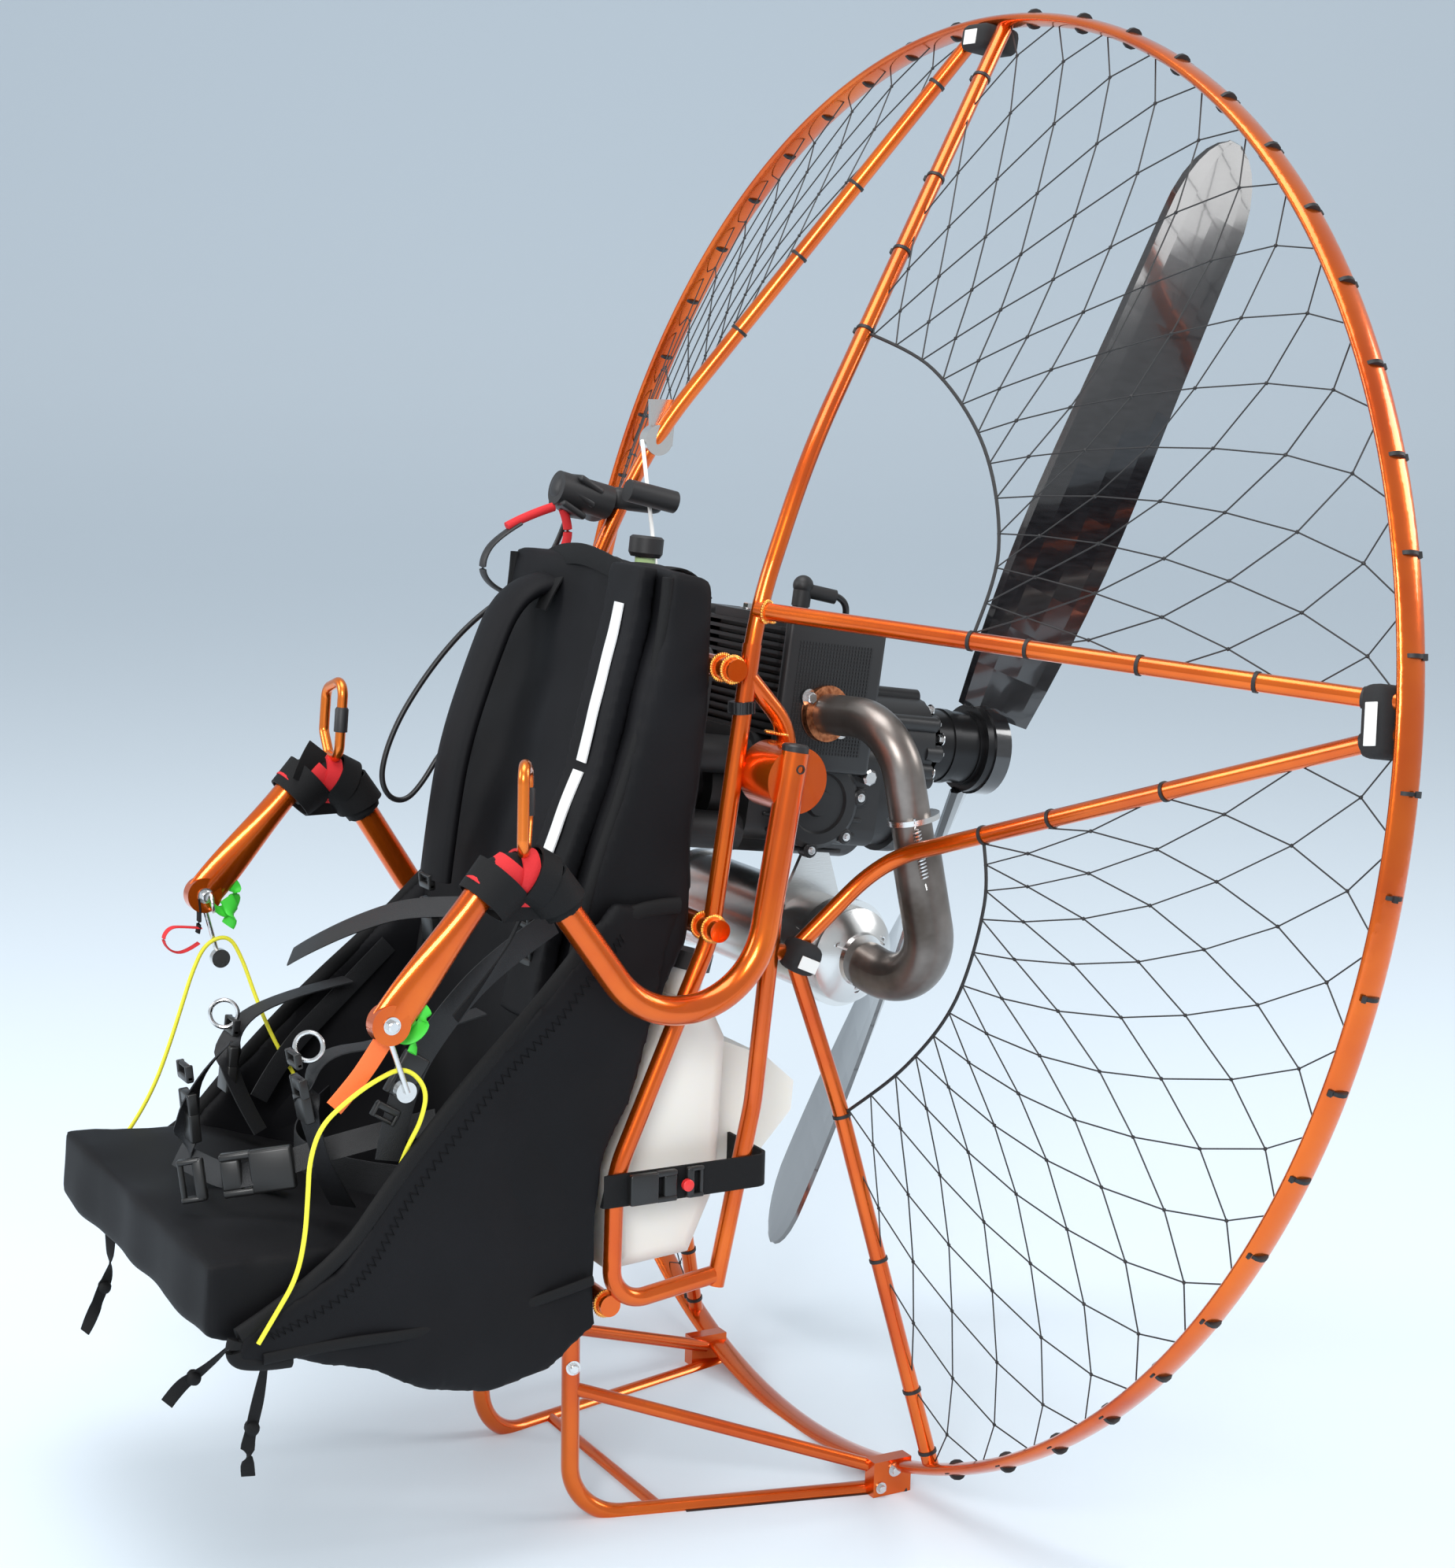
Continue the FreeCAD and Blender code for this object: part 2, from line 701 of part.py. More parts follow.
def shoulder_strap(route, centre_x):
    """A padded strap: a band of even thickness along the back."""
    outer = list(route)
    inner = []
    for index, (behind, up) in enumerate(route):
        before = route[max(index - 1, 0)]
        after = route[min(index + 1, len(route) - 1)]
        slope = Vector(after[0] - before[0], after[1] - before[1], 0).normalize()
        inner.append((behind + slope.y * shoulder_thickness, up - slope.x * shoulder_thickness))
    return slab(outer + inner[::-1], shoulder_width / 2, centre_x)


def throttle_grip(spoke):
    """The hand throttle hung on the right top spoke."""
    grip = rod(at(-158, -302, 955), at(-158, -246, 940), 17)
    head = rod(at(-158, -262, 944), at(-176, -252, 934), 15)
    return fused([grip, head]).cut(spoke)


def starter_pulley(spoke):
    """The plate and wheel that lead the starter cord on the right top spoke."""
    plate = slab([(-206, 1042), (-176, 1042), (-180, 996), (-204, 990)], 2, -150)
    wheel = rod(at(-156, -198, 1002), at(-142, -198, 1002), 15)
    return fused([plate, wheel]).cut(spoke)


def starter_handle():
    """The starter's pull handle below its pulley."""
    return rod(at(-107.5, -250, 955), at(-107.5, -198, 943), 11)


def starter_cord():
    """The starter's taut cord, from its pulley down to the drum on the crankcase."""
    return rod(at(-146, -214.9, 1002), at(-24, -237, 722), 2.0)


left_cord = [(229, -745, 283), (229, -730, 306), (228, -712, 333), (224, -703, 365), (220, -699, 400)]
left_cord += [(218, -697, 428), (217, -687, 456), (216, -664, 474), (215, -640, 488), (214, -612, 498)]
left_cord += [(213, -591, 476), (207, -594, 447), (196, -601, 424), (190, -608, 400), (192, -617, 368)]
right_cord = [(-229, -745, 283), (-229, -736, 304), (-228, -722, 326), (-224, -706, 350)]
right_cord += [(-220, -690, 382), (-218, -677, 418), (-217, -665, 455), (-216, -654, 490)]
right_cord += [(-215, -641, 517), (-214, -618, 523), (-211, -606, 499), (-204, -598, 470)]
right_cord += [(-194, -591, 444), (-187, -580, 416), (-182, -563, 384), (-178, -543, 348)]
throttle_cable = [(-172, -284, 924), (-178, -288, 905), (-182, -298, 884), (-185, -320, 861)]
throttle_cable += [(-185, -350, 843), (-185, -382, 820), (-185, -410, 792), (-185, -434, 762)]
throttle_cable += [(-185, -455, 730), (-185, -469, 698), (-185, -474, 671), (-185, -465, 652)]
throttle_cable += [(-185, -448, 648), (-185, -431, 664), (-185, -411, 695), (-185, -387, 719)]
throttle_cable += [(-185, -359, 741), (-190, -330, 764), (-194, -302, 791), (-193, -282, 826)]
throttle_cable += [(-180.8, -267.3, 862)]

frame_left = side_frame()
frame_right = mirrored(frame_left)
frames = fused([frame_left, frame_right])
outer_reach = frame_x + cross_stub
cross_upper = cross_tube(upper_cross, outer_reach - 4, frames)
cross_lower = cross_tube(lower_cross, outer_reach, frames)
cross_floor = cross_tube(floor_cross, frame_x, frames)

save("side_frame_left", frame_left)
save("side_frame_right", frame_right)
save("cross_tube_upper", cross_upper)
save("cross_tube_lower", cross_lower)
save("cross_tube_floor", cross_floor)

cage_upper_left = upper_cage().cut(frames)
cage_upper_right = mirrored(cage_upper_left)
cage_lower_left = lower_cage(frame_left)
save("cage_upper_left", cage_upper_left)
save("cage_upper_right", cage_upper_right)
save("cage_lower_left", cage_lower_left)
save("cage_lower_right", mirrored(cage_lower_left))
cage_foot = hoop_section(foot_angle, 360 - foot_angle)
save("cage_foot", cage_foot)

skid_left = skid().cut(cage_foot).cut(cross_floor)
skid_right = mirrored(skid_left)
runner_height = skid_radius + pad_thickness - pad_flat
runner_x = skid_corner[0] + (skid_cross_y - skid_corner[1]) * (
    (skid_rear[0] - skid_corner[0]) / (skid_rear[1] - skid_corner[1]))
skid_cross = rod(at(-runner_x, skid_cross_y, runner_height), at(runner_x, skid_cross_y, runner_height),
                 skid_bar_radius).cut(skid_left).cut(skid_right)
pad_left = runner_pad()
save("skid_left", skid_left)
save("skid_right", skid_right)
save("skid_cross_tube", skid_cross)
save("skid_pad_left", pad_left)
save("skid_pad_right", mirrored(pad_left))

arm_left = arm()
lever_left = lever().cut(arm_left)
wrap_left = arm_wrap(lever_left)
view_way = Vector(-0.871, 0.491, 0).normalize()
link_left = carabiner(arm_x, view_way, wrap_left)
wrap_right = right_hand(wrap_left)
link_right = right_hand(carabiner(arm_x, Vector(1, 0, 0), wrap_left))
cord_pulley = pulley(lever_left)
save("arm_left", arm_left)
save("arm_right", right_hand(arm_left))
save("lever_left", lever_left)
save("lever_right", right_hand(lever_left))
save("arm_wrap_left", wrap_left)
save("arm_wrap_right", wrap_right)
save("carabiner_left", link_left)
save("carabiner_right", link_right)
save("pulley_left", cord_pulley)
save("pulley_right", right_hand(cord_pulley))

two_blades = propeller()
save("propeller", two_blades)
save("hub_spacer", hub_spacer().cut(two_blades))
save("gearbox", gearbox())
engine_case = crankcase()
engine_barrel = barrel().cut(engine_case)
engine_pipe = exhaust_pipe(engine_barrel)
engine_muffler = muffler()
save("crankcase", engine_case)
save("starter_cover", starter_cover())
save("barrel", engine_barrel)
save("cylinder_head", cylinder_head())
save("plug_cap", plug_cap())
save("engine_mount", engine_mount(fused([cross_upper, cross_lower])))
save("rubber_mounts", rubber_mounts())
save("carburettor", carburettor())
save("air_box", air_box())
save("exhaust_pipe", engine_pipe.cut(engine_muffler))
save("muffler", engine_muffler)
save("muffler_bracket", muffler_bracket(fused([engine_case, engine_muffler])))

back = harness_back(frames)
tank = fuel_tank()
save("fuel_tank", tank)
save("tank_cap", tank_cap().cut(tank))
wing_left = harness_wing().cut(back)
wing_right = mirrored(wing_left)
save("tank_strap", tank_strap(Part.Compound([frames, tank, back, wing_left, wing_right])))
save("harness_back", back)
save("harness_wing_left", wing_left)
save("harness_wing_right", wing_right)
save("seat", seat(Part.Compound([wing_left, wing_right]), back))
left_route = [(-344, 900), (-353.5, 846), (-386.5, 715), (-422.5, 619), (-447.5, 500)]
right_route = [(-347, 870), (-392, 846), (-414, 790), (-440, 716), (-454, 650), (-466, 578)]
save("shoulder_strap_left", shoulder_strap(left_route, 108).cut(back))
save("shoulder_strap_right", shoulder_strap(right_route, -86).cut(back))

save("throttle_grip", throttle_grip(cage_upper_right))
save("starter_pulley", starter_pulley(cage_upper_right))
save("starter_handle", starter_handle())
save("starter_cord", starter_cord())
save("speed_cord_left", cord("speed_cord_left", [at(*place) for place in left_cord], yellow_radius))
save("speed_cord_right", cord("speed_cord_right", [at(*place) for place in right_cord], yellow_radius))
save("throttle_cable", cord("throttle_cable", [at(*place) for place in throttle_cable], cable_radius))
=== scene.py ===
import bpy
import bmesh
import math
from mathutils import Matrix, Vector


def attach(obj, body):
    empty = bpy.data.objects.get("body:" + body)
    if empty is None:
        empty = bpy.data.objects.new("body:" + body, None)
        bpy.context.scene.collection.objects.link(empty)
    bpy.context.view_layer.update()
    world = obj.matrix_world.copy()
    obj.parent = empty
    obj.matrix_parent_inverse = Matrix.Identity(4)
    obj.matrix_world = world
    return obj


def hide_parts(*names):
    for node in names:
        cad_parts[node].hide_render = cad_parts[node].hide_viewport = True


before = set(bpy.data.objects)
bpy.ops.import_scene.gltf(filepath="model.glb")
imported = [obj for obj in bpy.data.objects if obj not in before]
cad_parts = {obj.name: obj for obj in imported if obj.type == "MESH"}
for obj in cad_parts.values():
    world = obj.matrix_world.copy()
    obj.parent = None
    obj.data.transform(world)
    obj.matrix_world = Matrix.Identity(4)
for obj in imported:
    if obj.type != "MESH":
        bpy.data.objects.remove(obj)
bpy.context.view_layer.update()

# The stage: a pale floor that curves up into a wall behind, large soft lamps on the left, right and above,
# and a weak pale surrounding light. The camera stands low at the machine's left front.
bpy.ops.object.select_all(action="DESELECT")
bpy.ops.mesh.primitive_plane_add(size=14.0, location=(-2.4, 1.4, -0.001))
floor = bpy.context.object
floor.name = "floor"
bpy.ops.object.mode_set(mode="EDIT")
floor_mesh = bmesh.from_edit_mesh(floor.data)
for edge in floor_mesh.edges:
    middle = (edge.verts[0].co + edge.verts[1].co) / 2
    edge.select = middle.y > 6.9
floor_mesh.select_flush_mode()
bmesh.update_edit_mesh(floor.data)
bpy.ops.mesh.extrude_region_move(TRANSFORM_OT_translate={"value": (0.0, 1.2, 1.2)})
bpy.ops.mesh.extrude_region_move(TRANSFORM_OT_translate={"value": (0.0, 0.4, 8.0)})
bpy.ops.object.mode_set(mode="OBJECT")
bpy.ops.object.transform_apply(location=True, rotation=False, scale=False)
bend = floor.modifiers.new("curve_up", "SUBSURF")
bend.levels = 3
bend.render_levels = 3
floor.rotation_euler = (0.0, 0.0, math.radians(60.0))
backdrop = bpy.data.materials.new("backdrop")
backdrop.use_nodes = True
backdrop_shader = backdrop.node_tree.nodes["Principled BSDF"]
backdrop_shader.inputs["Base Color"].default_value = (0.70, 0.78, 0.85, 1.0)
backdrop_shader.inputs["Roughness"].default_value = 0.9
floor.data.materials.append(backdrop)
bpy.ops.object.shade_smooth()

lamps = [("lamp_left", (3.4, -2.6, 2.6), 120.0, 1.6), ("lamp_front", (-1.6, -3.8, 2.4), 62.0, 1.8),
         ("lamp_above", (0.4, -0.6, 4.2), 85.0, 2.4), ("lamp_behind", (1.6, 3.6, 2.6), 60.0, 1.6)]
for name, place, power, width in lamps:
    bpy.ops.object.light_add(type="AREA", location=place)
    lamp = bpy.context.object
    lamp.name = name
    lamp.data.energy = power
    lamp.data.size = width
    aim = Vector((0.0, 0.0, 0.7)) - Vector(place)
    lamp.rotation_euler = aim.to_track_quat("-Z", "Y").to_euler()
surroundings = bpy.data.worlds.new("surroundings")
surroundings.use_nodes = True
sky = surroundings.node_tree.nodes["Background"]
sky.inputs["Color"].default_value = (0.86, 0.91, 0.95, 1.0)
sky.inputs["Strength"].default_value = 0.66
bpy.context.scene.world = surroundings

bpy.ops.object.camera_add(location=(2.186, -1.129, 1.076))
camera = bpy.context.object
camera.name = "camera"
azimuth = math.radians(60.57)
drop = math.radians(9.42)
roll = math.radians(1.46)
forward = Vector((-math.sin(azimuth) * math.cos(drop), math.cos(azimuth) * math.cos(drop), -math.sin(drop)))
level_right = forward.cross(Vector((0.0, 0.0, 1.0))).normalized()
level_up = level_right.cross(forward)
camera_right = level_right * math.cos(roll) + level_up * math.sin(roll)
camera_up = level_up * math.cos(roll) - level_right * math.sin(roll)
camera.rotation_euler = Matrix((camera_right, camera_up, -forward)).transposed().to_euler()
camera.data.lens = 60.56
camera.data.shift_x = 0.0031
camera.data.shift_y = 0.0127
bpy.context.scene.camera = camera
bpy.context.scene.view_settings.view_transform = "Standard"

# The chassis, cage, skids and comfort arms are welded steel tube in a translucent orange lacquer over bright
# metal: it flashes gold where light falls and goes deep red-brown in the shade, under a hard clear coat.


def finish(name, colour, roughness, metallic=0.0, coat=0.0, specular=0.5):
    """A new material with plain values on its own shader."""
    made = bpy.data.materials.new(name)
    made.use_nodes = True
    shader = made.node_tree.nodes["Principled BSDF"]
    shader.inputs["Base Color"].default_value = (*colour, 1.0)
    shader.inputs["Roughness"].default_value = roughness
    shader.inputs["Metallic"].default_value = metallic
    shader.inputs["Coat Weight"].default_value = coat
    shader.inputs["Coat Roughness"].default_value = 0.05
    shader.inputs["Specular IOR Level"].default_value = specular
    return made


def noise(material, scale, detail, stretch):
    """A soft noise in a piece's own coordinates, for one of a material's values to follow."""
    nodes = material.node_tree.nodes
    links = material.node_tree.links
    place = nodes.new("ShaderNodeTexCoord")
    turn = nodes.new("ShaderNodeMapping")
    turn.inputs["Scale"].default_value = stretch
    cloud = nodes.new("ShaderNodeTexNoise")
    cloud.inputs["Scale"].default_value = scale
    cloud.inputs["Detail"].default_value = detail
    links.new(place.outputs["Object"], turn.inputs["Vector"])
    links.new(turn.outputs["Vector"], cloud.inputs["Vector"])
    return nodes, links, cloud


def mottle(material, scale, dark, light, stretch=(1.0, 1.0, 1.0)):
    """Lets a soft noise move a material's colour between a dark and a light one."""
    nodes, links, cloud = noise(material, scale, 4.0, stretch)
    ramp = nodes.new("ShaderNodeValToRGB")
    ramp.color_ramp.elements[0].position = 0.3
    ramp.color_ramp.elements[0].color = dark
    ramp.color_ramp.elements[1].position = 0.7
    ramp.color_ramp.elements[1].color = light
    links.new(cloud.outputs["Fac"], ramp.inputs["Fac"])
    links.new(ramp.outputs["Color"], nodes["Principled BSDF"].inputs["Base Color"])


def grain(material, scale, strength, distance=0.001, stretch=(1.0, 1.0, 1.0)):
    """Adds a fine noise bump to a material."""
    nodes, links, cloud = noise(material, scale, 3.0, stretch)
    bump = nodes.new("ShaderNodeBump")
    bump.inputs["Strength"].default_value = strength
    bump.inputs["Distance"].default_value = distance
    links.new(cloud.outputs["Fac"], bump.inputs["Height"])
    links.new(bump.outputs["Normal"], nodes["Principled BSDF"].inputs["Normal"])


def dress(material, *names):
    """Gives one material to CAD nodes whose shape stays."""
    for name in names:
        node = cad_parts[name]
        node.data.materials.clear()
        node.data.materials.append(material)


orange_lacquer = finish("orange_lacquer", (0.74, 0.115, 0.004), 0.25, metallic=0.85, coat=0.6)
mottle(orange_lacquer, 9.0, (0.62, 0.078, 0.002, 1.0), (0.80, 0.150, 0.005, 1.0))
grain(orange_lacquer, 900.0, 0.04, 0.0002)
dress(orange_lacquer, "side_frame_left", "side_frame_right", "cross_tube_upper", "cross_tube_lower",
      "cross_tube_floor", "cage_upper_left", "cage_upper_right", "cage_lower_left", "cage_lower_right",
      "cage_foot", "skid_left", "skid_right", "skid_cross_tube", "arm_left", "arm_right", "lever_left",
      "lever_right")

# Where tubes meet, the weld shows as a ring of small overlapping ripples in the orange lacquer; their
# yellow-gold colour is a painted highlight for light glinting on the ripples. Each ring is one ripple after
# another round the joint, melted a little into both tubes.


def only(piece):
    """Selects one piece and nothing else."""
    bpy.ops.object.select_all(action="DESELECT")
    piece.select_set(True)
    bpy.context.view_layer.objects.active = piece


def settle(piece, name, body, material, smooth=40.0):
    """Puts a finished piece's place into its mesh, gives it its name, material and body."""
    only(piece)
    if piece.type == "CURVE":
        bpy.ops.object.convert(target="MESH")
        piece = bpy.context.object
    bpy.ops.object.transform_apply()
    piece.name = name
    piece.data.name = name
    piece.data.materials.clear()
    piece.data.materials.append(material)
    bpy.ops.object.shade_smooth_by_angle(angle=math.radians(smooth))
    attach(piece, body)
    return piece


def joined(pieces):
    """Several finished meshes as one piece."""
    bpy.ops.object.select_all(action="DESELECT")
    for piece in pieces:
        piece.select_set(True)
    bpy.context.view_layer.objects.active = pieces[0]
    if len(pieces) > 1:
        bpy.ops.object.join()
    return bpy.context.object


def turned(start, way, profile, sides=24):
    """A turned piece along a way: a disc drawn out through (distance, radius) steps."""
    bpy.ops.object.select_all(action="DESELECT")
    bpy.ops.mesh.primitive_circle_add(vertices=sides, radius=profile[0][1], fill_type="NGON")
    piece = bpy.context.object
    bpy.ops.object.mode_set(mode="EDIT")
    reach, radius = profile[0]
    bpy.ops.transform.translate(value=(0.0, 0.0, reach))
    for distance, wide in profile[1:]:
        bpy.ops.mesh.extrude_region_move(TRANSFORM_OT_translate={"value": (0.0, 0.0, distance - reach)})
        bpy.ops.transform.resize(value=(wide / radius, wide / radius, 1.0),
                                 center_override=(0.0, 0.0, distance))
        reach, radius = distance, wide
    bpy.ops.mesh.select_all(action="SELECT")
    bpy.ops.mesh.normals_make_consistent(inside=False)
    bpy.ops.object.mode_set(mode="OBJECT")
    piece.rotation_euler = Vector(way).to_track_quat("Z", "Y").to_euler()
    piece.location = start
    bpy.ops.object.transform_apply()
    return piece


def weld(centre, way, radius, bead=0.0022):
    """A ring of ripples about a joint."""
    turn = Vector(way).to_track_quat("Z", "Y").to_matrix()
    count = int(math.tau * radius / (bead * 0.9))
    bpy.ops.object.select_all(action="DESELECT")
    bpy.ops.mesh.primitive_ico_sphere_add(subdivisions=2, radius=bead)
    ripple = bpy.context.object
    ripple.scale = (1.15, 0.62, 0.8)
    bpy.ops.object.transform_apply(location=False, rotation=False, scale=True)
    ripples = [ripple]
    for index in range(count):
        angle = math.tau * index / count
        copy = ripple.copy()
        copy.data = ripple.data.copy()
        bpy.context.collection.objects.link(copy)
        spin = Matrix.Rotation(angle, 3, "Z")
        lean = Matrix.Rotation(math.radians(22.0), 3, "X")
        copy.rotation_euler = (turn @ spin @ lean).to_euler()
        copy.location = Vector(centre) + turn @ (spin @ Vector((radius, 0.0, 0.0)))
        only(copy)
        bpy.ops.object.transform_apply()
        ripples.append(copy)
    bpy.data.objects.remove(ripples.pop(0))
    return joined(ripples)


def along(start, end, share):
    """The place a share of the way from one point to another."""
    return Vector(start).lerp(Vector(end), share)


# painted highlight: the welds' base colour and its lighter mottle are brighter and yellower than the tubes'
# lacquer, standing for light glinting on the ripples
weld_lacquer_painted_glint = finish("weld_lacquer_painted_glint", (0.92, 0.42, 0.04), 0.22, metallic=0.9, coat=1.0)
mottle(weld_lacquer_painted_glint, 300.0, (0.70, 0.16, 0.01, 1.0), (1.0, 0.56, 0.08, 1.0))
weld_places = (((0.1795, 0.0540, 0.718), (1.0, 0.0, 0.0), 0.0195),
               ((0.1795, 0.010, 0.813), (1.0, 0.0, 0.0), 0.0112),
               ((0.1795, -0.003, 0.581), (1.0, 0.0, 0.0), 0.0112),
               ((0.1605, 0.010, 0.813), (1.0, 0.0, 0.0), 0.0112),
               ((0.1605, -0.003, 0.581), (1.0, 0.0, 0.0), 0.0112),
               ((0.1610, -0.094, 0.240), (1.0, 0.0, 0.0), 0.0112),
               ((0.1705, 0.0455, 0.8575), (0.3, 0.25, 0.9), 0.0092),
               ((0.1790, 0.0435, 0.8632), (0.87, 0.46, -0.07), 0.0088),
               ((0.1700, 0.0620, 0.7530), (0.0, 0.2, 1.0), 0.0092))
chassis_welds = []
arm_welds = {}
for side, hand in ((1.0, "left"), (-1.0, "right")):
    for (x, y, z), way, radius in weld_places:
        chassis_welds.append(weld((side * x, y, z), way, radius))
    arm_welds[hand] = weld((side * 0.2090, 0.0540, 0.718), (1.0, 0.0, 0.0), 0.0150, 0.0024)
for hand in ("left", "right"):
    settle(arm_welds[hand], "arm_weld_" + hand, "arm_" + hand, weld_lacquer_painted_glint)
settle(joined(chassis_welds), "chassis_welds", "chassis", weld_lacquer_painted_glint)

# The two halves of each upright meet at a hairline joint, and a toothed black clamp grips the upright below
# it. The cross tubes are open at their ends; black caps close the arm tubes and the skids' rear ends.
clamp_black = finish("clamp_black", (0.012, 0.012, 0.013), 0.42)
clamps = []
for side in (1.0, -1.0):
    band = turned((side * 0.170, 0.0255, 0.7725), (0.0, -0.05, 1.0),
                  [(0.0, 0.0098), (0.0, 0.0108), (0.011, 0.0108), (0.011, 0.0098)])
    clamps.append(band)
    for tooth in range(18):
        angle = math.radians(20.0 * tooth)
        bpy.ops.mesh.primitive_cube_add(size=1.0, rotation=(0.0, 0.0, angle))
        ridge = bpy.context.object
        ridge.scale = (0.0022, 0.0014, 0.0100)
        ridge.location = (side * 0.170 + 0.0112 * math.cos(angle), 0.0252 + 0.0112 * math.sin(angle), 0.778)
        bpy.ops.object.transform_apply()
        clamps.append(ridge)
settle(joined(clamps), "upright_clamps", "chassis", clamp_black)

plugs = []
for side in (1.0, -1.0):
    plugs.append(turned((side * 0.179, 0.206, 0.0113), (side * 0.238, 0.971, 0.0),
                        [(0.0, 0.0080), (0.016, 0.0080), (0.0175, 0.0066)]))
settle(joined(plugs), "skid_plugs", "chassis", clamp_black)
for side, hand in ((1.0, "left"), (-1.0, "right")):
    cap = turned((side * 0.222, 0.0505, 0.7445), (0.0, 0.13, 0.99),
                 [(-0.002, 0.0120), (0.0045, 0.0120), (0.0062, 0.0104)])
    pin_end = turned((side * 0.2345, 0.0490, 0.7300), (side, 0.0, 0.0), [(-0.001, 0.0042), (0.0012, 0.0042),
                  (0.0012, 0.0030), (-0.0004, 0.0030)], 16)
    settle(joined([cap, pin_end]), "arm_cap_" + hand, "arm_" + hand, clamp_black)

# Bright bolts with washers hold the skid's post and rear lug, the lever to the arm and the muffler's
# bracket.
bolt_steel = finish("bolt_steel", (0.72, 0.72, 0.72), 0.22, metallic=1.0)


def bolt(place, way, head=0.0048, sides=6):
    """A washer with a six-sided head on it, standing on a face."""
    washer = turned(place, way, [(0.0, head * 1.45), (0.0012, head * 1.45)], 20)
    head_piece = turned(place, way, [(0.0012, head), (0.0012 + head * 0.8, head),
                                     (0.0012 + head * 0.95, head * 0.8)],
                        sides)
    return joined([washer, head_piece])


skid_bolts = []
for side in (1.0, -1.0):
    skid_bolts.append(bolt((side * 0.1105, -0.101, 0.162), (side, -0.15, 0.0)))
    skid_bolts.append(bolt((side * 0.1900, 0.205, 0.036), (side, 0.0, 0.0)))
    skid_bolts.append(bolt((side * 0.1900, 0.190, 0.020), (side, 0.0, 0.0), 0.004))
settle(joined(skid_bolts), "skid_bolts", "chassis", bolt_steel)

# The yellow cords and the throttle cable are smooth free cords laid over the machine.


def rope_line(name, places, radius):
    """A free cord's smooth line through its control points."""
    line = bpy.data.curves.new(name, "CURVE")
    line.dimensions = "3D"
    run = line.splines.new("NURBS")
    run.points.add(len(places) - 1)
    for point, place in zip(run.points, places):
        point.co = (*place, 1.0)
    run.order_u = 3
    run.use_endpoint_u = True
    run.resolution_u = 8
    line.bevel_depth = radius
    line.bevel_resolution = 3
    line.use_fill_caps = True
    rope = bpy.data.objects.new(name, line)
    bpy.context.collection.objects.link(rope)
    return rope


yellow_braid = finish("yellow_braid", (0.86, 0.80, 0.04), 0.6)
grain(yellow_braid, 1400.0, 0.5, 0.0006)
left_cord = [(0.229, -0.445, 0.283), (0.229, -0.430, 0.306), (0.228, -0.412, 0.333), (0.224, -0.403, 0.365),
             (0.220, -0.399, 0.400), (0.218, -0.397, 0.428), (0.217, -0.387, 0.456), (0.216, -0.364, 0.474),
             (0.215, -0.340, 0.488), (0.214, -0.312, 0.498), (0.213, -0.291, 0.476), (0.207, -0.294, 0.447),
             (0.196, -0.301, 0.424), (0.190, -0.308, 0.400), (0.192, -0.317, 0.368)]
right_cord = [(-0.229, -0.445, 0.283), (-0.229, -0.436, 0.304), (-0.228, -0.422, 0.326),
              (-0.224, -0.406, 0.350), (-0.220, -0.390, 0.382), (-0.218, -0.377, 0.418),
              (-0.217, -0.365, 0.455), (-0.216, -0.354, 0.490), (-0.215, -0.341, 0.517),
              (-0.214, -0.318, 0.523), (-0.211, -0.306, 0.499), (-0.204, -0.298, 0.470),
              (-0.194, -0.291, 0.444), (-0.187, -0.280, 0.416), (-0.182, -0.263, 0.384),
              (-0.178, -0.243, 0.348)]
for hand, places, length in (("left", left_cord, 0.405), ("right", right_cord, 0.472)):
    rope = rope_line("speed_line_" + hand, places, 0.002)
    rope.data.materials.append(yellow_braid)
    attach(rope, "arm_" + hand)
    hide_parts("speed_cord_" + hand)

cable_sleeve = finish("cable_sleeve", (0.010, 0.010, 0.011), 0.38)
cable_places = [(-0.172, 0.016, 0.924), (-0.178, 0.012, 0.905), (-0.182, 0.002, 0.884),
                (-0.185, -0.020, 0.861), (-0.185, -0.050, 0.843), (-0.185, -0.082, 0.820),
                (-0.185, -0.110, 0.792), (-0.185, -0.134, 0.762), (-0.185, -0.155, 0.730),
                (-0.185, -0.169, 0.698), (-0.185, -0.174, 0.671), (-0.185, -0.165, 0.652),
                (-0.185, -0.148, 0.648), (-0.185, -0.131, 0.664), (-0.185, -0.111, 0.695),
                (-0.185, -0.087, 0.719), (-0.185, -0.059, 0.741), (-0.190, -0.030, 0.764),
                (-0.194, -0.002, 0.791), (-0.193, 0.018, 0.826), (-0.1808, 0.0327, 0.862)]
cable = rope_line("throttle_line", cable_places, 0.0028)
cable.data.materials.append(cable_sleeve)
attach(cable, "chassis")
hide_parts("throttle_cable")

# The guard net is thin black line knotted into diamonds. Its edge is tied to the hoop and spokes with black
# cable ties, and a thicker cord gathers its inner edge round the middle, where the engine's warm air leaves.
net_black = finish("net_black", (0.010, 0.010, 0.011), 0.55)
hoop_centre = Vector((0.0, 0.300, 0.7109))
hoop_lean = math.radians(7.02)
hoop_up = Vector((0.0, math.sin(hoop_lean), math.cos(hoop_lean)))


def hoop_place(degrees, radius=0.7035):
    """A place on the hoop, by its angle from the top towards the left."""
    turn = math.radians(degrees)
    across = Vector((1.0, 0.0, 0.0)) * radius * math.sin(turn)
    return hoop_centre + across + hoop_up * radius * math.cos(turn)


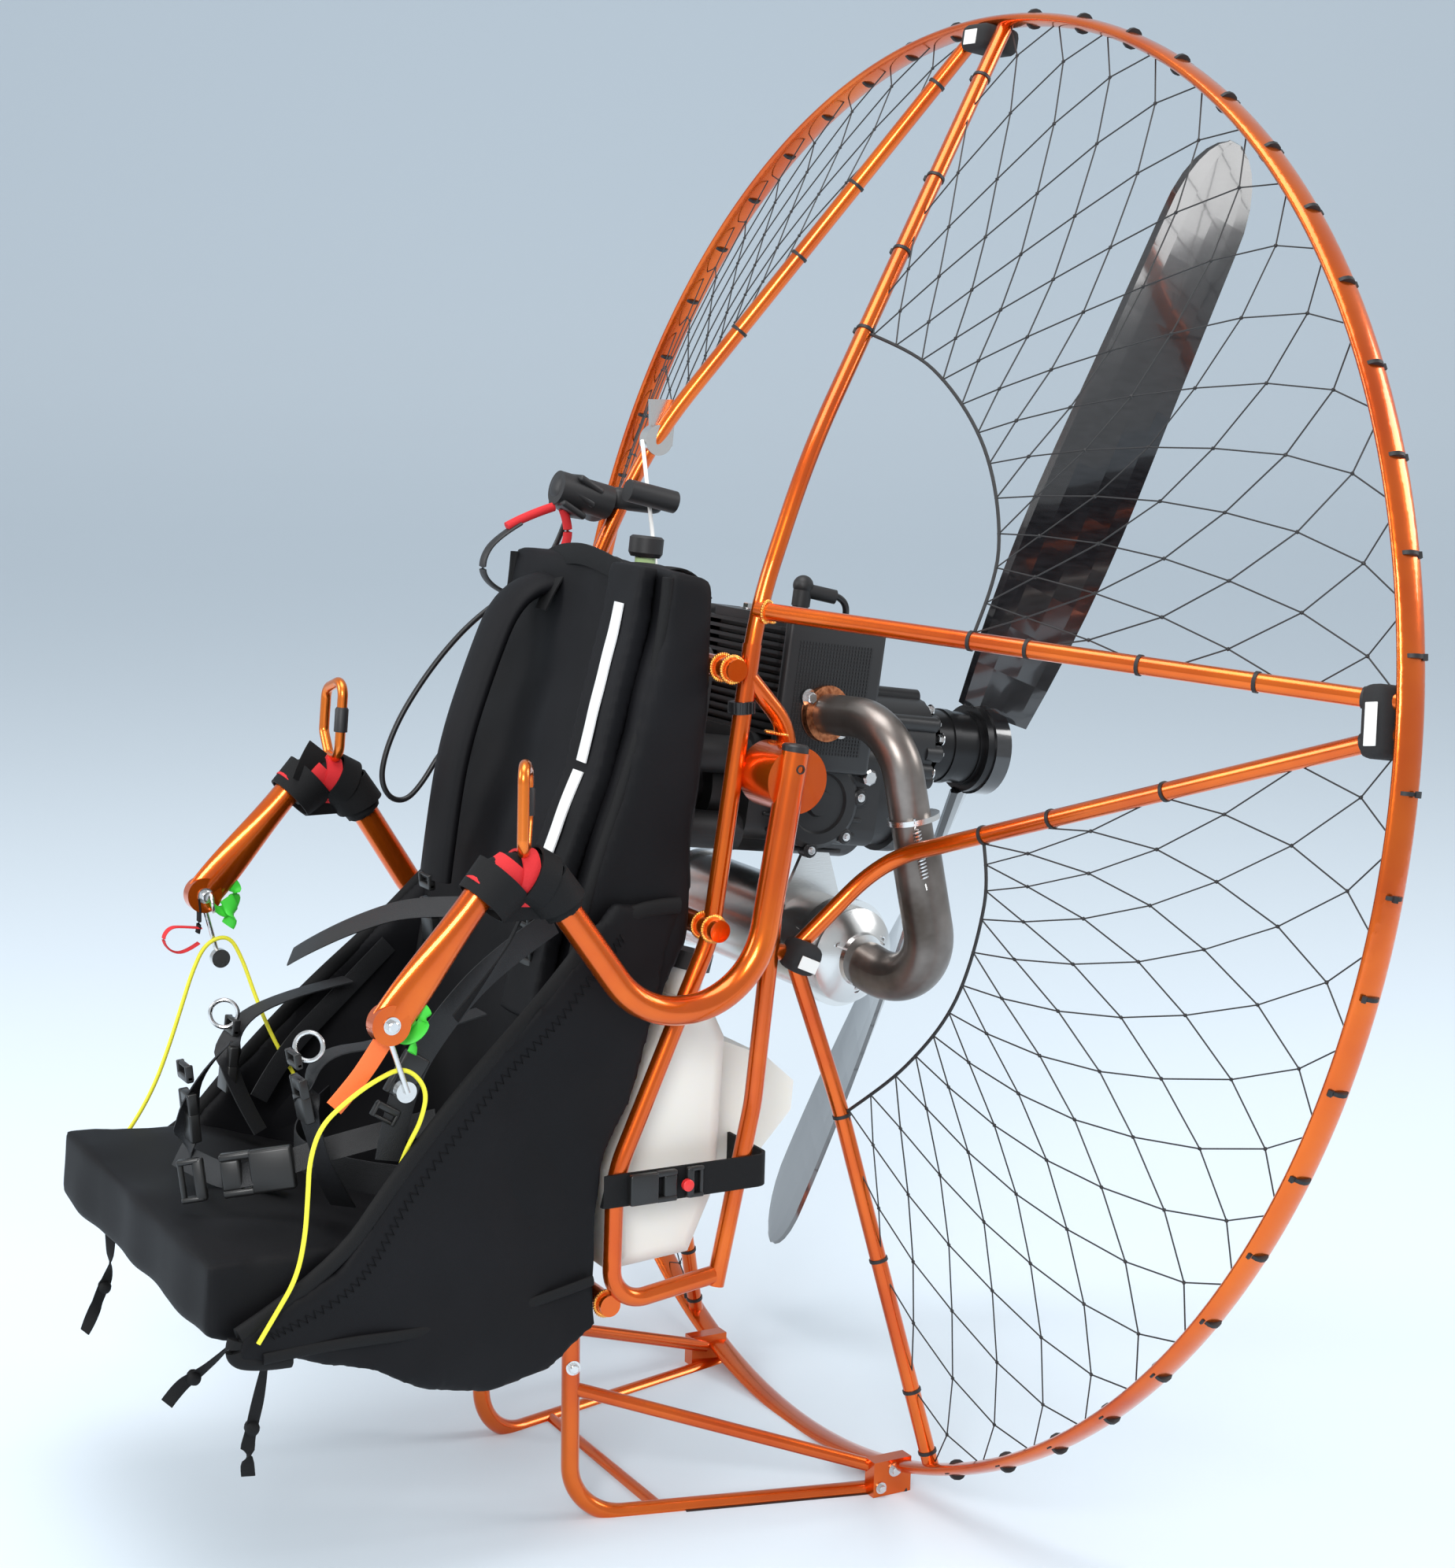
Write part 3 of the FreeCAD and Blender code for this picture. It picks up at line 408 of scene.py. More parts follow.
def curve_place(places, share):
    """A place a share of the way along a smooth line through places."""
    reach = share * (len(places) - 1)
    index = min(int(reach), len(places) - 2)
    part = reach - index
    before = Vector(places[max(index - 1, 0)])
    start = Vector(places[index])
    end = Vector(places[index + 1])
    after = Vector(places[min(index + 2, len(places) - 1)])
    rise = (end - before) / 2
    fall = (after - start) / 2
    return (start * (2 * part ** 3 - 3 * part ** 2 + 1) + rise * (part ** 3 - 2 * part ** 2 + part)
            + end * (3 * part ** 2 - 2 * part ** 3) + fall * (part ** 3 - part ** 2))


def thread(name, lines, radius, sides=1):
    """Several thin straight or curved lines of one thickness as one curve."""
    line = bpy.data.curves.new(name, "CURVE")
    line.dimensions = "3D"
    line.bevel_depth = radius
    line.bevel_resolution = sides
    for places in lines:
        run = line.splines.new("POLY")
        run.points.add(len(places) - 1)
        for point, place in zip(run.points, places):
            point.co = (*place, 1.0)
    made = bpy.data.objects.new(name, line)
    bpy.context.collection.objects.link(made)
    return made


def net_panel(name, angles, first_spoke, inner, last_spoke, columns, rows):
    """One quarter of the net: outer edge on the hoop, two sides on spokes, inner edge on a cord."""
    def surface(u, v):
        outer = hoop_place(angles[0] + (angles[1] - angles[0]) * u)
        hem = curve_place(inner, u)
        first = curve_place(first_spoke, v)
        last = curve_place(last_spoke, v)
        ruled = outer.lerp(hem, v) + first.lerp(last, u)
        corners = (Vector(first_spoke[0]).lerp(Vector(last_spoke[0]), u)
                   .lerp(Vector(first_spoke[-1]).lerp(Vector(last_spoke[-1]), u), v))
        return ruled - corners
    lines = []
    knots = []
    for slant in (1, -1):
        for start in range(-rows, columns + rows + 1):
            run = []
            for step in range(rows + 1):
                u = (start + slant * step * 0.5) / columns
                v = step / rows
                if -0.001 <= u <= 1.001:
                    run.append(surface(min(max(u, 0.0), 1.0), v ** 1.08))
            if len(run) > 1:
                lines.append(run)
            if slant > 0:
                knots.extend(run[1:])
    settle(thread(name + "_lines", lines, 0.0007), name + "_lines", "chassis", net_black)
    bpy.ops.object.select_all(action="DESELECT")
    bpy.ops.mesh.primitive_ico_sphere_add(subdivisions=1, radius=0.0019)
    knot = bpy.context.object
    copies = []
    for place in knots:
        copy = knot.copy()
        copy.data = knot.data.copy()
        copy.location = place
        copy.rotation_euler = (place.x * 9.0, place.z * 7.0, 0.4)
        bpy.context.collection.objects.link(copy)
        copies.append(copy)
    bpy.data.objects.remove(knot)
    bpy.ops.object.select_all(action="DESELECT")
    for copy in copies:
        copy.select_set(True)
    bpy.context.view_layer.objects.active = copies[0]
    bpy.ops.object.transform_apply()
    settle(joined(copies), name + "_knots", "chassis", net_black)
    hem = [surface(step / 40, 1.0) for step in range(41)]
    settle(thread(name + "_hem", [hem], 0.0016, 2), name + "_hem", "chassis", net_black)


for side, hand in ((1.0, "left"), (-1.0, "right")):
    fork = Vector((side * 0.170, 0.0386, 0.864))
    upper_bend = Vector((side * 0.152, 0.097, 1.000))
    top = hoop_place(side * 2.0)
    upper_side = hoop_place(side * 80.2)
    side_tie = along(fork, upper_side, 0.36)
    top_tie = along(upper_bend, top, 0.27)
    upper_hem = [tuple(top_tie), (side * 0.203, 0.193, 1.078), (side * 0.290, 0.191, 1.012),
                 (side * 0.349, 0.169, 0.928), tuple(side_tie)]
    net_panel("net_upper_" + hand, (side * 2.0, side * 80.2),
              [tuple(top), tuple(along(top, upper_bend, 0.45)), tuple(top_tie)], upper_hem,
              [tuple(upper_side), tuple(along(upper_side, side_tie, 0.5)), tuple(side_tie)], 12, 7)
    node = Vector((side * 0.170, 0.084, 0.550))
    lower_bend = Vector((side * 0.198, 0.162, 0.636))
    lower_side = hoop_place(side * 82.2)
    foot = hoop_place(side * 160.6)
    side_tie = along(lower_bend, lower_side, 0.22)
    foot_bend = Vector((side * 0.181, 0.134, 0.404))
    lower_hem = [tuple(side_tie), (side * 0.316, 0.193, 0.614), (side * 0.297, 0.180, 0.525),
                 (side * 0.250, 0.161, 0.455), tuple(along(foot_bend, foot, 0.03))]
    net_panel("net_lower_" + hand, (side * 82.2, side * 160.6),
              [tuple(lower_side), tuple(along(lower_side, side_tie, 0.5)), tuple(side_tie)], lower_hem,
              [tuple(foot), tuple(along(foot, foot_bend, 0.5)), tuple(along(foot_bend, foot, 0.03))], 12, 7)

# A cable tie sits at each place where the net meets a tube: a thin band round the tube and its small square
# head.
ties = []


def tie(place, way, radius):
    """A cable tie round a tube, with its head."""
    band = turned(place, way, [(-0.0016, radius), (-0.0016, radius + 0.0011), (0.0016, radius + 0.0011),
                  (0.0016, radius)], 14)
    bpy.ops.object.select_all(action="DESELECT")
    bpy.ops.mesh.primitive_cube_add(size=1.0)
    head = bpy.context.object
    head.scale = (0.0042, 0.0036, 0.0052)
    turn = Vector(way).to_track_quat("Z", "Y").to_matrix()
    head.rotation_euler = turn.to_euler()
    head.location = Vector(place) + turn @ Vector((radius + 0.002, 0.0, 0.0))
    bpy.ops.object.transform_apply()
    return [band, head]


for side in (1.0, -1.0):
    for count in range(12):
        for first, last in ((2.0, 80.2), (82.2, 160.6)):
            angle = side * (first + (last - first) * (count + 0.5) / 12)
            rim = hoop_place(angle, 0.7055)
            ahead = hoop_place(angle + 1.0, 0.7055)
            ties.extend(tie(rim, ahead - rim, 0.0085))
    fork = Vector((side * 0.170, 0.0386, 0.864))
    upper_bend = Vector((side * 0.152, 0.097, 1.000))
    top = hoop_place(side * 1.6, 0.705)
    upper_side = hoop_place(side * 79.9, 0.705)
    lower_bend = Vector((side * 0.198, 0.162, 0.636))
    lower_side = hoop_place(side * 81.7, 0.705)
    foot_bend = Vector((side * 0.181, 0.134, 0.404))
    foot = hoop_place(side * 160.7, 0.705)
    for start, end, shares in ((upper_bend, top, (0.27, 0.45, 0.62, 0.86)),
                               (fork, upper_side, (0.36, 0.45, 0.62, 0.79, 0.94)),
                               (lower_bend, lower_side, (0.22, 0.36, 0.58, 0.93)),
                               (foot_bend, foot, (0.03, 0.42, 0.78, 0.95))):
        for share in shares:
            ties.extend(tie(along(start, end, share), end - start, 0.0078))
settle(joined(ties), "net_ties", "chassis", net_black)

# Black hook-and-loop bands bind the cage's quarters together at the top, at both sides and at the lower
# nodes. Each is webbing wound twice round the tubes, with a blank pale tag sewn on its outside.
band_cloth = finish("band_cloth", (0.012, 0.012, 0.013), 0.85)
grain(band_cloth, 1500.0, 0.6, 0.0006)
tag_cloth = finish("tag_cloth", (0.72, 0.72, 0.70), 0.7)


def rounded_bar(place, size, turn, edge, steps=3):
    """A bar with rounded edges, turned about its middle."""
    bpy.ops.object.select_all(action="DESELECT")
    bpy.ops.mesh.primitive_cube_add(size=1.0)
    bar = bpy.context.object
    bar.scale = size
    bpy.ops.object.transform_apply(location=False, rotation=False, scale=True)
    round_edges = bar.modifiers.new("round_edges", "BEVEL")
    round_edges.width = edge
    round_edges.segments = steps
    round_edges.limit_method = "ANGLE"
    bpy.ops.object.modifier_apply(modifier="round_edges")
    bar.rotation_euler = turn.to_euler()
    bar.location = place
    bpy.ops.object.transform_apply()
    return bar


def turn_to(way, side):
    """The turn that lays a bar's Z along a way and its X as near to a side as it can."""
    z = Vector(way).normalized()
    y = z.cross(Vector(side)).normalized()
    x = y.cross(z)
    return Matrix((x, y, z)).transposed()


bands = []
tags = []
for angle, stretch in ((0.0, 0.030), (81.0, 0.020), (-81.0, 0.020)):
    rim = hoop_place(angle, 0.702)
    ahead = hoop_place(angle + 1.0, 0.702) - rim
    outward = (rim - hoop_centre).normalized()
    across = Vector((0.0, 1.0, 0.0))
    if angle == 0.0:
        bands.append(rounded_bar(rim - outward * 0.014 - across * 0.004, (0.026, 0.046, 0.040),
                                 turn_to(ahead, outward), 0.008))
        tags.append(rounded_bar(rim - outward * 0.012 - across * 0.0275, (0.014, 0.0012, 0.020),
                                turn_to(ahead, outward), 0.0004, 1))
    else:
        bands.append(rounded_bar(rim - outward * 0.016 - across * 0.002, (0.024, 0.046, 0.058),
                                 turn_to(ahead, outward), 0.008))
        tags.append(rounded_bar(rim - outward * 0.012 - across * 0.0255, (0.013, 0.0012, 0.034),
                                turn_to(ahead, outward), 0.0004, 1))
for side in (1.0, -1.0):
    way = Vector((side * 0.05, 0.35, 0.80))
    bands.append(rounded_bar((side * 0.180, 0.088, 0.548), (0.036, 0.030, 0.030),
                             turn_to(way, (1.0, 0.0, 0.0)), 0.010))
    tags.append(rounded_bar((side * 0.1985, 0.086, 0.544), (0.0012, 0.020, 0.012),
                            turn_to(way, (1.0, 0.0, 0.0)),
                            0.0004, 1))
settle(joined(bands), "cage_bands", "chassis", band_cloth, 60.0)
settle(joined(tags), "cage_tags", "chassis", tag_cloth)

# The propeller is a two-blade moulding in black clear-coated carbon; the faint sheen of its weave is painted
# into the colour as a streaked mottle of two near-blacks.
# A dark alloy drum carries it on the gearbox, with a grooved rim and a ring of bright bolts through the hub.
blade_carbon = finish("blade_carbon", (0.008, 0.008, 0.009), 0.16, coat=1.0, specular=0.6)
# painted sheen: the mottle lightens the black in streaks to stand for the weave's faint gleam under the
# clear coat
mottle(blade_carbon, 60.0, (0.005, 0.005, 0.006, 1.0), (0.014, 0.014, 0.016, 1.0), stretch=(1.0, 1.0, 4.0))
dress(blade_carbon, "propeller")
drum_alloy = finish("drum_alloy", (0.012, 0.012, 0.013), 0.3, metallic=0.5)
dress(drum_alloy, "hub_spacer")
thrust = Vector((0.0, math.cos(hoop_lean), -math.sin(hoop_lean)))
side_way = Vector((1.0, 0.0, 0.0))
lift_way = side_way.cross(thrust)


def on_shaft(along_shaft, radius=0.0, degrees=0.0):
    """A place by its distance behind the hoop's centre, its radius from the shaft and its angle."""
    turn = math.radians(degrees)
    return hoop_centre + thrust * along_shaft + (side_way * math.cos(turn) + lift_way
                                                 * math.sin(turn)) * radius


hub_bolts = []
for number in range(6):
    hub_bolts.append(bolt(on_shaft(0.110, 0.030, 60.0 * number), thrust, 0.0055))
    hub_bolts.append(bolt(on_shaft(0.0310, 0.036, 60.0 * number + 15.0), -thrust, 0.0045))
hub_bolts.append(turned(on_shaft(0.1095), thrust,
                        [(0.0, 0.018), (0.006, 0.018), (0.009, 0.013), (0.012, 0.006)]))
settle(joined(hub_bolts), "hub_bolts", "propeller", bolt_steel)
drum_rings = []
for reach in (0.048, 0.078):
    drum_rings.append(turned(on_shaft(reach), thrust,
                             [(0.0, 0.0355), (0.0, 0.0375), (0.008, 0.0375), (0.008, 0.0355)],
                             48))
settle(joined(drum_rings), "hub_rings", "propeller", drum_alloy)

# The engine is a single-cylinder two-stroke painted satin black. The cylinder's cooling fins are cut into
# small square pins, so that its sides are a close grid, and the castings carry ribs and covers held by small
# screws.
engine_black = finish("engine_black", (0.016, 0.016, 0.017), 0.40, specular=0.45)
grain(engine_black, 700.0, 0.15, 0.0004)
dress(engine_black, "barrel", "cylinder_head", "crankcase", "gearbox", "starter_cover", "engine_mount",
      "carburettor")
moulded_black = finish("moulded_black", (0.014, 0.014, 0.015), 0.5)
grain(moulded_black, 900.0, 0.25, 0.0004)
dress(moulded_black, "air_box", "plug_cap", "rubber_mounts", "tank_cap", "throttle_grip", "starter_handle",
      "skid_pad_left", "skid_pad_right")


def engine_place(sideways, along_shaft, up):
    """A place in the engine's own directions, measured from the hoop's centre."""
    return hoop_centre + side_way * sideways + thrust * along_shaft + lift_way * up


engine_turn = Matrix((side_way, thrust, lift_way)).transposed()
bpy.ops.object.select_all(action="DESELECT")
bpy.ops.mesh.primitive_cube_add(size=0.0022)
pin = bpy.context.object
bpy.ops.object.mode_set(mode="EDIT")
pin_mesh = bmesh.from_edit_mesh(pin.data)
for face in pin_mesh.faces:
    face.select = face.normal.x > 0.9
bmesh.update_edit_mesh(pin.data)
bpy.ops.mesh.extrude_region_move(TRANSFORM_OT_translate={"value": (0.0020, 0.0, 0.0)})
bpy.ops.transform.resize(value=(1.0, 0.8, 0.8))
bpy.ops.object.mode_set(mode="OBJECT")
column = pin.modifiers.new("column", "ARRAY")
column.count = 31
column.use_relative_offset = False
column.use_constant_offset = True
column.constant_offset_displace = (0.0, 0.0, 0.0034)
bpy.ops.object.modifier_apply(modifier="column")
rank = pin.modifiers.new("rank", "ARRAY")
rank.count = 24
rank.use_relative_offset = False
rank.use_constant_offset = True
rank.constant_offset_displace = (0.0, 0.0034, 0.0)
bpy.ops.object.modifier_apply(modifier="rank")
for side in (1.0, -1.0):
    grid = pin.copy()
    grid.data = pin.data.copy()
    bpy.context.collection.objects.link(grid)
    slab = rounded_bar(engine_place(side * 0.0890, -0.1420, 0.043), (0.012, 0.108, 0.140), engine_turn,
                       0.005)
    grid.data.transform((Matrix.Translation(engine_place(side * 0.0945, -0.182, -0.009))
                         @ (engine_turn @ Matrix.Diagonal((side, 1.0, 1.0))).to_4x4()))
    if side < 0.0:
        grid.data.flip_normals()
    panel = joined([slab, grid])
    settle(panel, "fin_grid_" + ("left" if side > 0.0 else "right"), "chassis", engine_black,
           30.0)
bpy.data.objects.remove(pin)

castings = []
for up in (-0.104, -0.088, -0.073, -0.058, -0.043, -0.028):
    chord = 1.9 * math.sqrt(0.060 ** 2 - (up + 0.058) ** 2)
    castings.append(rounded_bar(engine_place(0.0680, -0.128, up), (0.006, chord, 0.004), engine_turn, 0.0012,
                                1))
for number in range(8):
    angle = math.radians(45.0 * number)
    place = engine_place(0.040 * math.cos(angle), 0.020, 0.040 * math.sin(angle) - 0.005)
    castings.append(turned(place, thrust, [(-0.012, 0.0085), (0.006, 0.0085), (0.0075, 0.007)], 16))
for number in range(7):
    angle = math.radians(51.4 * number + 10.0)
    place = engine_place(0.0690, -0.128 + 0.046 * math.cos(angle), -0.058 + 0.046 * math.sin(angle))
    castings.append(turned(place, side_way, [(-0.004, 0.0075), (0.008, 0.0075), (0.0095, 0.006)], 16))
castings.append(turned(engine_place(0.068, -0.128, -0.058), side_way,
                       [(-0.002, 0.045), (0.006, 0.045), (0.010, 0.040), (0.010, 0.030), (0.007, 0.028),
                        (0.007, 0.014), (0.012, 0.012), (0.012, 0.005)], 40))
castings.append(turned(engine_place(0.0, 0.0, -0.058), thrust,
                       [(-0.012, 0.052), (0.004, 0.052), (0.010, 0.046)], 40))
settle(joined(castings), "castings", "chassis", engine_black, 35.0)
screws = []
for number in range(8):
    angle = math.radians(45.0 * number)
    screws.append(bolt(engine_place(0.040 * math.cos(angle), 0.0275, 0.040 * math.sin(angle) - 0.005),
                       thrust, 0.0030))
for number in range(7):
    angle = math.radians(51.4 * number + 10.0)
    place = engine_place(0.0785, -0.128 + 0.046 * math.cos(angle), -0.058 + 0.046 * math.sin(angle))
    screws.append(bolt(place, side_way, 0.0028))
for across in (-0.030, 0.030):
    for deep in (-0.172, -0.122):
        screws.append(bolt(engine_place(across, deep, 0.1135), lift_way, 0.0050))
screws.append(turned(engine_place(0.068, -0.075, -0.030), side_way,
                     [(0.0, 0.008), (0.010, 0.008), (0.012, 0.006)], 8))
settle(joined(screws), "engine_screws", "chassis", bolt_steel, 30.0)

# The spark plug's lead leaves the moulded cap, arches back and drops to the coil behind the cylinder.
head_top = engine_place(0.0, -0.131, 0.138)
plug_lead = rope_line("plug_lead", [tuple(head_top + thrust * 0.024), tuple(head_top + thrust * 0.046),
                                    tuple(head_top + thrust * 0.056 - lift_way * 0.020),
                                    tuple(engine_place(-0.030, -0.078, 0.080)),
                                    tuple(engine_place(-0.046, -0.088, 0.020))], 0.0034)
settle(plug_lead, "plug_lead", "chassis", cable_sleeve)

# The exhaust leaves the cylinder's left side through a copper ring and a flange nut. The bent steel pipe has
# gone brown-grey with heat, and a sleeve joint held by springs lets it move against the bright silencer.
pipe_steel = finish("pipe_steel", (0.16, 0.135, 0.12), 0.34, metallic=0.9)
mottle(pipe_steel, 14.0, (0.075, 0.06, 0.05, 1.0), (0.30, 0.27, 0.25, 1.0))
grain(pipe_steel, 260.0, 0.08, 0.0005)
dress(pipe_steel, "exhaust_pipe")
bright_steel = finish("bright_steel", (0.70, 0.70, 0.69), 0.26, metallic=1.0)
grain(bright_steel, 120.0, 0.08, 0.0006, stretch=(1.0, 1.0, 8.0))
dress(bright_steel, "muffler", "muffler_bracket", "starter_pulley", "pulley_left", "pulley_right")
copper = finish("copper", (0.62, 0.20, 0.09), 0.35, metallic=1.0)
mottle(copper, 220.0, (0.25, 0.07, 0.03, 1.0), (0.75, 0.30, 0.14, 1.0))
port = Vector((0.087, 0.157, 0.757))
pipe_way = Vector((0.106, 0.016, 0.004)).normalized()
gasket = turned(port + pipe_way * 0.006, pipe_way,
                [(0.0, 0.0185), (0.0, 0.0265), (0.007, 0.0265), (0.007, 0.0185)], 36)
settle(gasket, "port_ring", "chassis", copper)
port_nuts = [bolt(port + Vector((0.0095, -0.018, 0.016)), pipe_way, 0.0058),
             bolt(port + Vector((0.0095, 0.018, -0.016)), pipe_way, 0.0058)]
settle(joined(port_nuts), "port_nuts", "chassis", bolt_steel)


def spring(start, end, radius, turns, wire=0.0009):
    """A close-wound spring with a straight hook at each end."""
    way = Vector(end) - Vector(start)
    turn = way.to_track_quat("Z", "Y").to_matrix()
    places = [tuple(start)]
    steps = turns * 10
    for step in range(steps + 1):
        angle = 2.0 * math.pi * step / 10.0
        reach = way.length * (0.16 + 0.68 * step / steps)
        places.append(tuple(Vector(start) + turn @ Vector((radius * math.cos(angle),
                                                           radius * math.sin(angle), reach))))
    places.append(tuple(end))
    return thread("spring", [places], wire, 1)


can_left = Vector((0.108, 0.182, 0.528))
can_right = Vector((-0.132, 0.152, 0.541))
can_way = (can_left - can_right).normalized()
slip = Vector((0.1995, 0.198, 0.650))
springs = []
for lean in (-0.5, 2.6):
    out = Vector((math.cos(lean), math.sin(lean), 0.0)) * 0.026
    springs.append(spring(slip + out + Vector((-0.002, -0.006, 0.026)),
                          slip + out + Vector((0.002, 0.008, -0.040)),
                          0.0034, 14))
can_up = Vector((0.0, 0.0, 1.0))
for lean in (-60.0, 60.0, 180.0):
    round_can = Matrix.Rotation(math.radians(lean), 3, can_way) @ can_up
    springs.append(spring(can_left + can_way * 0.030 + round_can * 0.026,
                          can_left - can_way * 0.020 + round_can * 0.050,
                          0.0034, 12))
for number, piece in enumerate(springs):
    only(piece)
    bpy.ops.object.convert(target="MESH")
    springs[number] = bpy.context.object
settle(joined(springs), "exhaust_springs", "chassis", bolt_steel)
sleeve_rings = [turned(slip + Vector((-0.0006, -0.0045, 0.020)), (-0.06, -0.19, 0.98),
                       [(0.0, 0.0192), (0.0, 0.0246), (0.005, 0.0246), (0.005, 0.0192)], 36),
                turned(can_left + can_way * 0.0005, can_way,
                       [(-0.002, 0.046), (0.010, 0.046), (0.018, 0.036), (0.022, 0.026), (0.026, 0.0245)],
                       48)]
settle(joined(sleeve_rings), "exhaust_rings", "chassis", bright_steel, 30.0)

# The harness back and side panels are black coated nylon sewn over foam: flat where they are stretched over
# the frame, softly dented elsewhere, with bound edges and a rolled hem.
nylon = finish("nylon", (0.004, 0.004, 0.005), 0.62, specular=0.18)
mottle(nylon, 7.0, (0.0030, 0.0030, 0.0038, 1.0), (0.0055, 0.0055, 0.0070, 1.0))
grain(nylon, 1900.0, 0.35, 0.0005)
binding = finish("binding", (0.006, 0.006, 0.0065), 0.7, specular=0.22)
grain(binding, 1200.0, 0.6, 0.0006)


def sewn(node, name, grid, rounding, ripple, depth, body, material):
    """A CAD solid's soft skin: evenly meshed, its edges rounded, its faces gently dented."""
    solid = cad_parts[node]
    skin = solid.copy()
    skin.data = solid.data.copy()
    for key in list(skin.keys()):
        del skin[key]
    skin.parent = None
    bpy.context.collection.objects.link(skin)
    only(skin)
    bpy.ops.object.mode_set(mode="EDIT")
    bpy.ops.mesh.select_all(action="SELECT")
    bpy.ops.mesh.remove_doubles(threshold=0.00002)
    bpy.ops.object.mode_set(mode="OBJECT")
    even = skin.modifiers.new("even", "REMESH")
    even.mode = "VOXEL"
    even.voxel_size = grid
    bpy.ops.object.modifier_apply(modifier="even")
    soften = skin.modifiers.new("soften", "SMOOTH")
    soften.factor = 0.5
    soften.iterations = rounding
    bpy.ops.object.modifier_apply(modifier="soften")
    cloud = bpy.data.textures.new(name + "_dents", "CLOUDS")
    cloud.noise_scale = ripple
    cloud.noise_depth = 1
    dents = skin.modifiers.new("dents", "DISPLACE")
    dents.texture = cloud
    dents.texture_coords = "LOCAL"
    dents.strength = depth
    dents.mid_level = 0.5
    bpy.ops.object.modifier_apply(modifier="dents")
    settle(skin, name, body, material, 60.0)
    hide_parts(node)
    return skin


sewn("harness_back", "back_pad", 0.006, 8, 0.11, 0.016, "chassis", nylon)
sewn("harness_wing_left", "side_panel_left", 0.0045, 4, 0.13, 0.022, "chassis", nylon)
sewn("harness_wing_right", "side_panel_right", 0.0045, 4, 0.13, 0.022, "chassis", nylon)
sewn("seat", "seat_pad", 0.006, 6, 0.13, 0.013, "chassis", nylon)
sewn("shoulder_strap_left", "shoulder_pad_left", 0.0035, 6, 0.06, 0.004, "chassis", nylon)


def webbing(name, places, width, thickness, turns=0.0, end_turn=None):
    """A flat woven band along a smooth line, turned about its own line where it needs to be."""
    outline = bpy.data.objects.new("outline", bpy.data.curves.new("outline", "CURVE"))
    bpy.context.collection.objects.link(outline)
    edge_line = outline.data.splines.new("POLY")
    sides = 10 if thickness < width * 0.2 else 16
    edge_line.points.add(sides - 1)
    for number, point in enumerate(edge_line.points):
        turn = math.tau * (number + 0.5) / sides
        fullness = 0.35 if thickness < width * 0.2 else 1.0
        across = math.copysign(abs(math.cos(turn)) ** fullness, math.cos(turn))
        through = math.copysign(abs(math.sin(turn)) ** fullness, math.sin(turn))
        point.co = (across * width / 2, through * thickness / 2, 0.0, 1.0)
    edge_line.use_cyclic_u = True
    line = bpy.data.curves.new(name, "CURVE")
    line.dimensions = "3D"
    line.twist_mode = "Z_UP"
    line.bevel_mode = "OBJECT"
    line.bevel_object = outline
    line.use_fill_caps = True
    run = line.splines.new("NURBS")
    run.points.add(len(places) - 1)
    last = turns if end_turn is None else end_turn
    for number, place in enumerate(places):
        run.points[number].co = (*place, 1.0)
        run.points[number].tilt = math.radians(turns + (last - turns) * number / (len(places) - 1))
    run.order_u = 3
    run.use_endpoint_u = True
    run.resolution_u = 6
    band = bpy.data.objects.new(name, line)
    bpy.context.collection.objects.link(band)
    only(band)
    bpy.ops.object.convert(target="MESH")
    band = bpy.context.object
    bpy.data.objects.remove(outline)
    return band


def beside_seat(side, y, out=0.0):
    """How far sideways the middle of a side panel's cloth lies, at a place along it."""
    return side * (0.1730 + max(-0.104 - y, 0.0) * 0.1388 + out)


def laid_on(skin, places, way, lift):
    """The places carried along a direction onto a soft piece, and lifted a little off it."""
    way = Vector(way).normalized()
    landed = []
    for place in places:
        start = Vector(place) - way * 0.15
        hit, there = skin.ray_cast(start, way)[:2]
        if hit:
            landed.append(there - way * lift)
    return landed


bindings = []
for side in (1.0, -1.0):
    edge = [(-0.035, 0.604), (-0.100, 0.607), (-0.173, 0.531), (-0.245, 0.469), (-0.316, 0.396),
            (-0.372, 0.328), (-0.460, 0.290)]
    edge = [(beside_seat(side, y), y, z) for y, z in edge]
    bindings.append(webbing("edge", edge, 0.010, 0.015))
    hem = [(-0.440, 0.268), (-0.380, 0.268), (-0.283, 0.258), (-0.187, 0.262), (-0.118, 0.272)]
    hem = [(beside_seat(side, y, 0.0065), y, z) for y, z in hem]
    bindings.append(webbing("hem", hem, 0.004, 0.010))
    front = [(-0.462, 0.287), (-0.468, 0.272), (-0.440, 0.262), (-0.413, 0.260)]
    front = [(beside_seat(side, y), y, z) for y, z in front]
    bindings.append(webbing("front_edge", front, 0.012, 0.014))
for x in (0.158, -0.158):
    bindings.append(webbing("back_edge", [(x, -0.045, 0.893), (x, -0.048, 0.840), (x, -0.083, 0.716),
                                          (x, -0.118, 0.622), (x, -0.143, 0.505),
                                          (x, -0.158, 0.390)], 0.012, 0.010))
settle(joined(bindings), "harness_bindings", "chassis", binding, 60.0)

